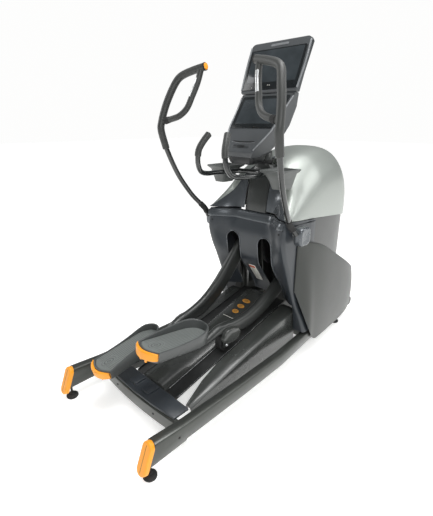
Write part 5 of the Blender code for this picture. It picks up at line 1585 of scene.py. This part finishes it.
def tilted(angle):
    return Vector((0, math.cos(angle), math.sin(angle)))


def profile_shell(name, profile, edge, material, replaces):
    """A moulded body with the same outline all the way across and softly rounded sides."""
    bm = bmesh.new()
    right = [bm.verts.new(at(half, y, z)) for y, z, half in profile]
    left = [bm.verts.new(at(-half, y, z)) for y, z, half in profile]
    bridge(bm, [right, left], True)
    bm.faces.new(right)
    bm.faces.new(left)
    obj = new_piece(name, bm, "frame", material, replaces, smooth=0)
    soften(obj, "soft_edges", edge, 4, 24.0)


def console():
    profile_shell("console_shell", LOWER_SHELL, 0.0075, CONSOLE, ("console_housing",))
    profile_shell("display_shell", UPPER_SHELL, 0.0080, CONSOLE, ("display_frame",))
    console_screens()
    console_deck()
    console_sides()
    console_back()


def console_screens():
    low = at(0, 1.063, 1.4253)
    high = at(0, 1.203, 1.5968)
    middle = (low + high) / 2
    along = (high - low).normalized()
    length = (high - low).length
    plate("lower_window", middle, ACROSS, along, tapered_rect(0.146, 0.166, length, 0.010, 5), 0.0005, 0.0032,
          "frame", WINDOW, ("lower_screen",))
    plate("lower_display", middle + along * 0.004, ACROSS, along,
          tapered_rect(0.129, 0.146, length - 0.050, 0.004, 5), 0.0026, 0.0035, "frame", DISPLAY,
          soft=0.0002)
    low = at(0, 1.2095, 1.6310)
    high = at(0, 1.3035, 1.8625)
    middle = (low + high) / 2
    along = (high - low).normalized()
    length = (high - low).length
    plate("upper_window", middle - along * 0.004, ACROSS, along,
          tapered_rect(0.188, 0.190, length - 0.012, 0.012, 5), 0.0005, 0.0036, "frame", WINDOW,
          ("upper_screen",))
    plate("upper_display", middle + along * 0.014, ACROSS, along,
          tapered_rect(0.172, 0.176, length - 0.062, 0.004, 5), 0.0030, 0.0039, "frame", DISPLAY,
          soft=0.0002)
    row = middle - along * (length / 2 - 0.020)
    for index, across in enumerate((-0.120, -0.070, -0.006, 0.006, 0.062, 0.118)):
        wide = 0.0075 if index in (2, 3) else 0.0050
        lift = 0.006 if index in (2, 3) else -0.003
        outline = rounded_rect(wide, 0.0036, 0.0014, 3)
        trim(f"window_mark_{index}", row + ACROSS * across + along * lift, along, outline, 0.0030, 0.0041,
             PALE_MARK)
    bezel = middle + along * (length / 2 + 0.012)
    trim("bezel_plaque", bezel, along, rounded_rect(0.120, 0.013, 0.006, 5), 0.0, 0.0018, CONSOLE_PALE_PAINTED_HIGHLIGHT,
         soft=0.0006)


# (height, half width, front station, rear station) rings of the tray under the palm deck
TRAY_RINGS = (
    (1.279, 0.0925, 0.972, 1.104),
    (1.262, 0.0920, 0.974, 1.106),
    (1.244, 0.0880, 0.981, 1.108),
    (1.234, 0.0800, 0.992, 1.106),
    (1.230, 0.0640, 1.008, 1.094),
)
DECK_SLOT_HALF = 0.082


def console_deck():
    """Button with its marks, the long slot behind it and the tray under the palm deck."""
    along = tilted(DECK_ANGLE)
    middle = at(0, BUTTON_Y, BUTTON_Z)
    trim("button_strip", middle, along, rounded_rect(0.118, 0.0225, 0.008, 5), -0.0010, 0.0008,
         CONSOLE_DARK, soft=0.0006)
    trim("button_recess", middle, along, oval(0.058, 0.0215, 36), 0.0, 0.0012, CONSOLE_BLACK)
    plate("start_button", middle, ACROSS, along, oval(0.040, 0.0130, 36), -0.0010, 0.0034, "console_button",
          CONSOLE_BLACK, ("console_button",), soft=0.0012)
    for side, sign in SIDES:
        mark = middle + ACROSS * (sign * 0.037)
        dash = rounded_rect(0.0022, 0.0070, 0.0010, 3)
        dot = oval(0.0065, 0.0055, 16)
        trim(f"button_mark_{side}", mark, along, dot, 0.0, 0.0013, CONSOLE_BLACK)
        trim(f"button_dash_{side}", mark + ACROSS * (sign * 0.009), along, dash, 0.0, 0.0013, CONSOLE_BLACK)
    out = ACROSS.cross(along)
    # The long slot is a black bead sunk in the deck: its black is painted shade of the opening, and its pale
    # lip is a painted highlight on the slot's edge.
    path = []
    for i in range(29):
        x = DECK_SLOT_HALF * (-1 + 2 * i / 28)
        bow = 0.0290 + 0.0060 * (x / DECK_SLOT_HALF) ** 2
        path.append(middle + ACROSS * x + along * bow - out * 0.0030)
    sweep("deck_slot", path, lambda s: 0.0066 - 0.0030 * abs(2 * s - 1) ** 6, "frame", CONSOLE_BLACK,
          sides=16, soft=0.002)
    sweep("deck_slot_lip", [p - along * 0.0062 + out * 0.0030 for p in path], 0.0016, "frame", CONSOLE_PALE_PAINTED_HIGHLIGHT,
          sides=10, soft=0.001)
    rings = []
    for z, half, front, rear in TRAY_RINGS:
        outline = rounded_rect(2 * half, rear - front, 0.024, 7)
        rings.append([at(u, (front + rear) / 2 + v, z + 0.14 * (v + 0.05)) for u, v in outline])
    loft("console_tray", rings, "frame", CONSOLE_BLACK, smooth=60.0)


def console_sides():
    """Rounded edges in a pale grey that is mostly a painted highlight (the display's bezel is also a lighter
    grey), dark inset strips beside the lower screen and small side vents.
    """
    for side, sign in SIDES:
        outer = [(half - 0.0035, y - 0.0005, z + 0.0005) for y, z, half in UPPER_SHELL[1:3]]
        path = [at(sign * x, y, z) for x, y, z in ((outer[0][0], 1.2095, 1.634), (0.2030, 1.262, 1.760),
                                                  (outer[1][0], 1.3085, 1.876))]
        sweep(f"display_edge_{side}", smooth_path(path, 0.02), 0.0052, "frame", CONSOLE_PALE_PAINTED_HIGHLIGHT,
              sides=18, soft=0.003)
        path = [at(sign * x, y, z) for x, y, z in ((0.0985, 0.9700, 1.3130), (0.1540, 1.055, 1.4160),
                                                  (0.1670, 1.130, 1.5080), (0.1835, 1.200, 1.5930))]
        sweep(f"console_edge_{side}", smooth_path(path, 0.015), 0.0042, "frame", CONSOLE_PALE_PAINTED_HIGHLIGHT,
              sides=16, soft=0.002)
        along = tilted(LOWER_ANGLE)
        inset = at(sign * 0.1655, 1.150, 1.5315)
        tilt = (along + ACROSS * (sign * 0.13)).normalized()
        across = tilt.cross(ACROSS.cross(along)).normalized()
        outline = rounded_rect(0.0085, 0.110, 0.004, 5)
        plate(f"flank_inset_{side}", inset + ACROSS * (sign * 0.0006), across, tilt, outline, -0.001, 0.0016,
              "frame", CONSOLE_BLACK, soft=0.0003)
        # Black plates stand for the side vent slots: their black is painted shade of the openings.
        for index in range(4):
            spot = at(sign * 0.1815, 1.1905 + 0.0052 * index, 1.5830 + 0.0063 * index)
            plate(f"flank_vent_{side}_{index}", spot, across, tilt, rounded_rect(0.0100, 0.0024, 0.0010, 3),
                  0.0, 0.0022, "frame", CONSOLE_BLACK, soft=0.0003)


def console_back():
    """Vent slots on the back of the display and a service lid on the lower shell."""
    high = at(0, 1.352, 1.888)
    low = at(0, 1.290, 1.720)
    along = (high - low).normalized()
    left = Vector((-1, 0, 0))
    # Black plates stand for the vent slots: their black is painted shade of the openings.
    for index in range(7):
        spot = low + along * (0.050 + 0.016 * index)
        outline = rounded_rect(0.150, 0.0055, 0.0025, 4)
        plate(f"rear_vent_{index}", spot, left, along, outline, -0.0002, 0.0012, "frame", CONSOLE_BLACK,
              soft=0.0003)
    base = at(0, 1.2435, 1.490)
    slope = (at(0, 1.262, 1.540) - at(0, 1.225, 1.440)).normalized()
    plate("service_lid", base, left, slope, rounded_rect(0.200, 0.080, 0.010, 5), -0.0002, 0.0020, "frame",
          CONSOLE_DARK, soft=0.0010)
    for index, (u, v) in enumerate(((-0.088, -0.030), (0.088, -0.030), (-0.088, 0.030), (0.088, 0.030))):
        out = left.cross(slope)
        spot = base + left * u + slope * v + out * 0.0022
        screw_head(f"lid_screw_{index}", spot, out, 0.0038, "frame")


# ---------------------------------------------------------------- trim

CAP_LEAN = math.atan(0.39)
RAMP_SLOPE = math.tan(math.radians(13.4))
CENTRE_HALF = 0.0945


def rail_cap(side):
    """Slanted rounded rail end with a dark line down its middle: the groove's shade, painted in dark orange.
    """
    middle = box_middle(f"rail_end_cap_{side}")
    along = Vector((0, math.sin(CAP_LEAN), math.cos(CAP_LEAN)))
    out = Vector((0, -math.cos(CAP_LEAN), math.sin(CAP_LEAN)))
    radius = 0.0305
    half = 0.079 - radius
    turns = [math.pi * i / 16 for i in range(17)]
    outline = [(radius * math.cos(turn), half + radius * math.sin(turn)) for turn in turns]
    outline += [(-u, -v) for u, v in outline]
    rings = []
    for depth, inset in ((-0.0120, 0.0), (0.0040, 0.0), (0.0080, 0.0012), (0.0106, 0.0040), (0.0118, 0.0085),
                         (0.0120, 0.0130)):
        ring = []
        for u, v in outline:
            keep = 1 - inset / radius
            bend = math.copysign(max(0.0, abs(v) - half), v) * keep + math.copysign(min(abs(v), half), v)
            ring.append(middle + ACROSS * (u * keep) + along * bend + out * depth)
        rings.append(ring)
    loft(f"rail_cap_{side}", rings, "frame", ORANGE, (f"rail_end_cap_{side}",), smooth=60.0)
    face = middle + out * 0.0112
    trim(f"rail_cap_line_{side}", face, along, rounded_rect(0.0026, 0.128, 0.0012, 3), 0.0, 0.0012,
         ORANGE_SHADE)


def ramp_edge_z(y):
    return 0.206 + RAMP_SLOPE * (y - 0.727)


CENTRE_RISES = (
    (0.292, 0.014),
    (0.302, 0.028),
    (0.450, 0.020),
    (0.650, 0.014),
    (0.970, 0.027),
    (1.185, 0.042),
    (1.209, 0.034),
)


TRACK_FIRST_Y = 0.330
TRACK_LAST_Y = 1.215


def centre_top(x, y):
    rise = between(CENTRE_RISES, y)[0]
    return at(x, y, ramp_edge_z(y) + rise + 0.016 * (1 - (x / CENTRE_HALF) ** 4))


def ramp_trim():
    """Three amber ovals and a pale bar on the centre cover, and thin bright edges on the tracks."""
    for index, (y, wide) in enumerate(((0.967, 0.050), (1.020, 0.054), (1.075, 0.062))):
        along = (centre_top(0, y + 0.02) - centre_top(0, y - 0.02)).normalized()
        middle = centre_top(0, y)
        trim(f"ramp_badge_{index}", middle, along, oval(wide, 0.034, 36), -0.001, 0.0011, BADGE,
             soft=0.0003)
        for line in (-1, 0, 1):
            bar = rounded_rect(wide * (0.50 - 0.10 * abs(line)), 0.0026, 0.0012, 3)
            trim(f"ramp_badge_bar_{index}_{line + 1}", middle + along * (0.0075 * line), along, bar, 0.0,
                 0.0015, CONSOLE_DARK)
    along = (centre_top(0, 0.92) - centre_top(0, 0.88)).normalized()
    trim("ramp_bar", centre_top(0, 0.905), along, rounded_rect(0.100, 0.0036, 0.0016, 3), -0.0015, 0.0009,
         PALE_MARK)
    stations = [TRACK_FIRST_Y + (TRACK_LAST_Y - TRACK_FIRST_Y) * i / 12 for i in range(13)]
    for side, sign in SIDES:
        for name, x, rise in (("inner", 0.0963, 0.0100), ("outer", 0.1717, 0.0020)):
            path = [at(sign * x, y, ramp_edge_z(y) + rise) for y in stations]
            sweep(f"track_edge_{name}_{side}", path, 0.0013, "frame", TRACK_EDGE, sides=10,
                  soft=0.0005)


def panel_trim():
    """Blank label with a coloured header on the bridge between the slots, and small screws."""
    low_y, high_y = panel_y(0, 0.445), panel_y(0, 0.600)
    low, high = at(0, low_y, 0.445), at(0, high_y, 0.600)
    along = (high - low).normalized()
    out = ACROSS.cross(along)
    middle = (low + high) / 2 + out * 0.004
    plate("panel_label", middle, ACROSS, along, rounded_rect(0.052, 0.160, 0.003, 3), -0.003, 0.0010, "frame",
          PALE_MARK, soft=0.0002)
    plate("panel_label_header", middle + along * 0.066, ACROSS, along, rounded_rect(0.048, 0.020, 0.002, 3),
          0.0, 0.0014, "frame", LABEL_RED, soft=0.0002)
    for index in range(7):
        plate(f"panel_label_line_{index}", middle + along * (0.040 - 0.016 * index), ACROSS, along,
              rounded_rect(0.036, 0.0022, 0.0010, 2), 0.0, 0.0013, "frame", LABEL_GREY, soft=0.0002)
    for side, sign in SIDES:
        spot = at(sign * 0.262, panel_y(0.262, 0.862) - 0.001, 0.862)
        screw_head(f"shoulder_screw_{side}", spot, (0, -1, 0.2), 0.0050, "frame")


def small_parts():
    """Screws of the rails and the cross member, wheel hubs, mast collar."""
    for side, sign in SIDES:
        low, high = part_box(f"side_rail_{side}")
        outer_x = high.x if sign > 0 else low.x
        spot = Vector((outer_x, STATION_Y + 0.150, 0.128))
        screw_head(f"rail_screw_{side}", spot, (sign, 0, 0), 0.0062, "frame")
        bow = 0.205 - 0.020 * (1 - (0.16 / 0.337) ** 2) - 0.015
        screw_head(f"beam_screw_{side}", at(sign * 0.160, bow, 0.096), (0, -1, 0), 0.0060, "frame")
        wheel = box_middle(f"transport_wheel_{side}")
        hub = ((0.0105, 0.0235), (0.0130, 0.0225), (0.0138, 0.0190), (0.0138, 0.0105), (0.0150, 0.0095),
               (0.0150, 0.0040))
        turned(f"wheel_hub_{side}", wheel, (sign, 0, 0), hub, f"transport_wheel_{side}", PEDAL_GREY)
    collar = at(0, 1.2130, 1.2350)
    ring = ((-0.012, 0.046), (-0.009, 0.0485), (0.009, 0.0485), (0.012, 0.046))
    turned("mast_collar", collar, (0, 0.10, 1), ring, "frame", RUBBER)


# ---------------------------------------------------------------- carried-over nodes

CARRIED = {
    "side_rail": RAIL_PAINT,
    "ramp_side_cover": RAMP_GREY,
    "roller_track": TRACK,
    "bottle_holder": HOLDER,
    "roller_axle": STEEL,
    "roller": RUBBER,
    "rocker_shaft": STEEL,
    "crank_arm": IRON,
    "rear_foot": RUBBER,
    "front_foot": RUBBER,
    "transport_wheel": RUBBER,
}
CARRIED_ONCE = {
    "rear_cross_member": RAIL_PAINT,
    "rear_cover": SLATE,
    "base_frame": RAIL_PAINT,
    "drive_frame": RAIL_PAINT,
    "ramp_center_cover": RAMP_GREY,
    "drive_belt": BELT,
    "flywheel_belt": BELT,
    "eddy_brake": STEEL,
    "mast": ARM_BLACK,
    "crank_axle": STEEL,
    "drive_pulley": IRON,
    "step_pulley": IRON,
    "flywheel": IRON,
}


studio()
for stem, material in CARRIED.items():
    for side, sign in SIDES:
        carry_over(f"{stem}_{side}", material)
for node, material in CARRIED_ONCE.items():
    carry_over(node, material)
for side, sign in SIDES:
    pedal_shell(side, sign)
    pedal_pad(side, sign)
    pedal_bumper(side, sign)
    handlebar(side, sign)
    leaf_cover(side, sign)
    arm_beam(side, sign)
    roller_fork(side, sign)
    roller_hood(side, sign)
    pivot_cap(side, sign)
    rail_cap(side)
fixed_handlebar()
console()
ramp_trim()
panel_trim()
small_parts()
hood()
rear_shell()
front_panel()
brow()
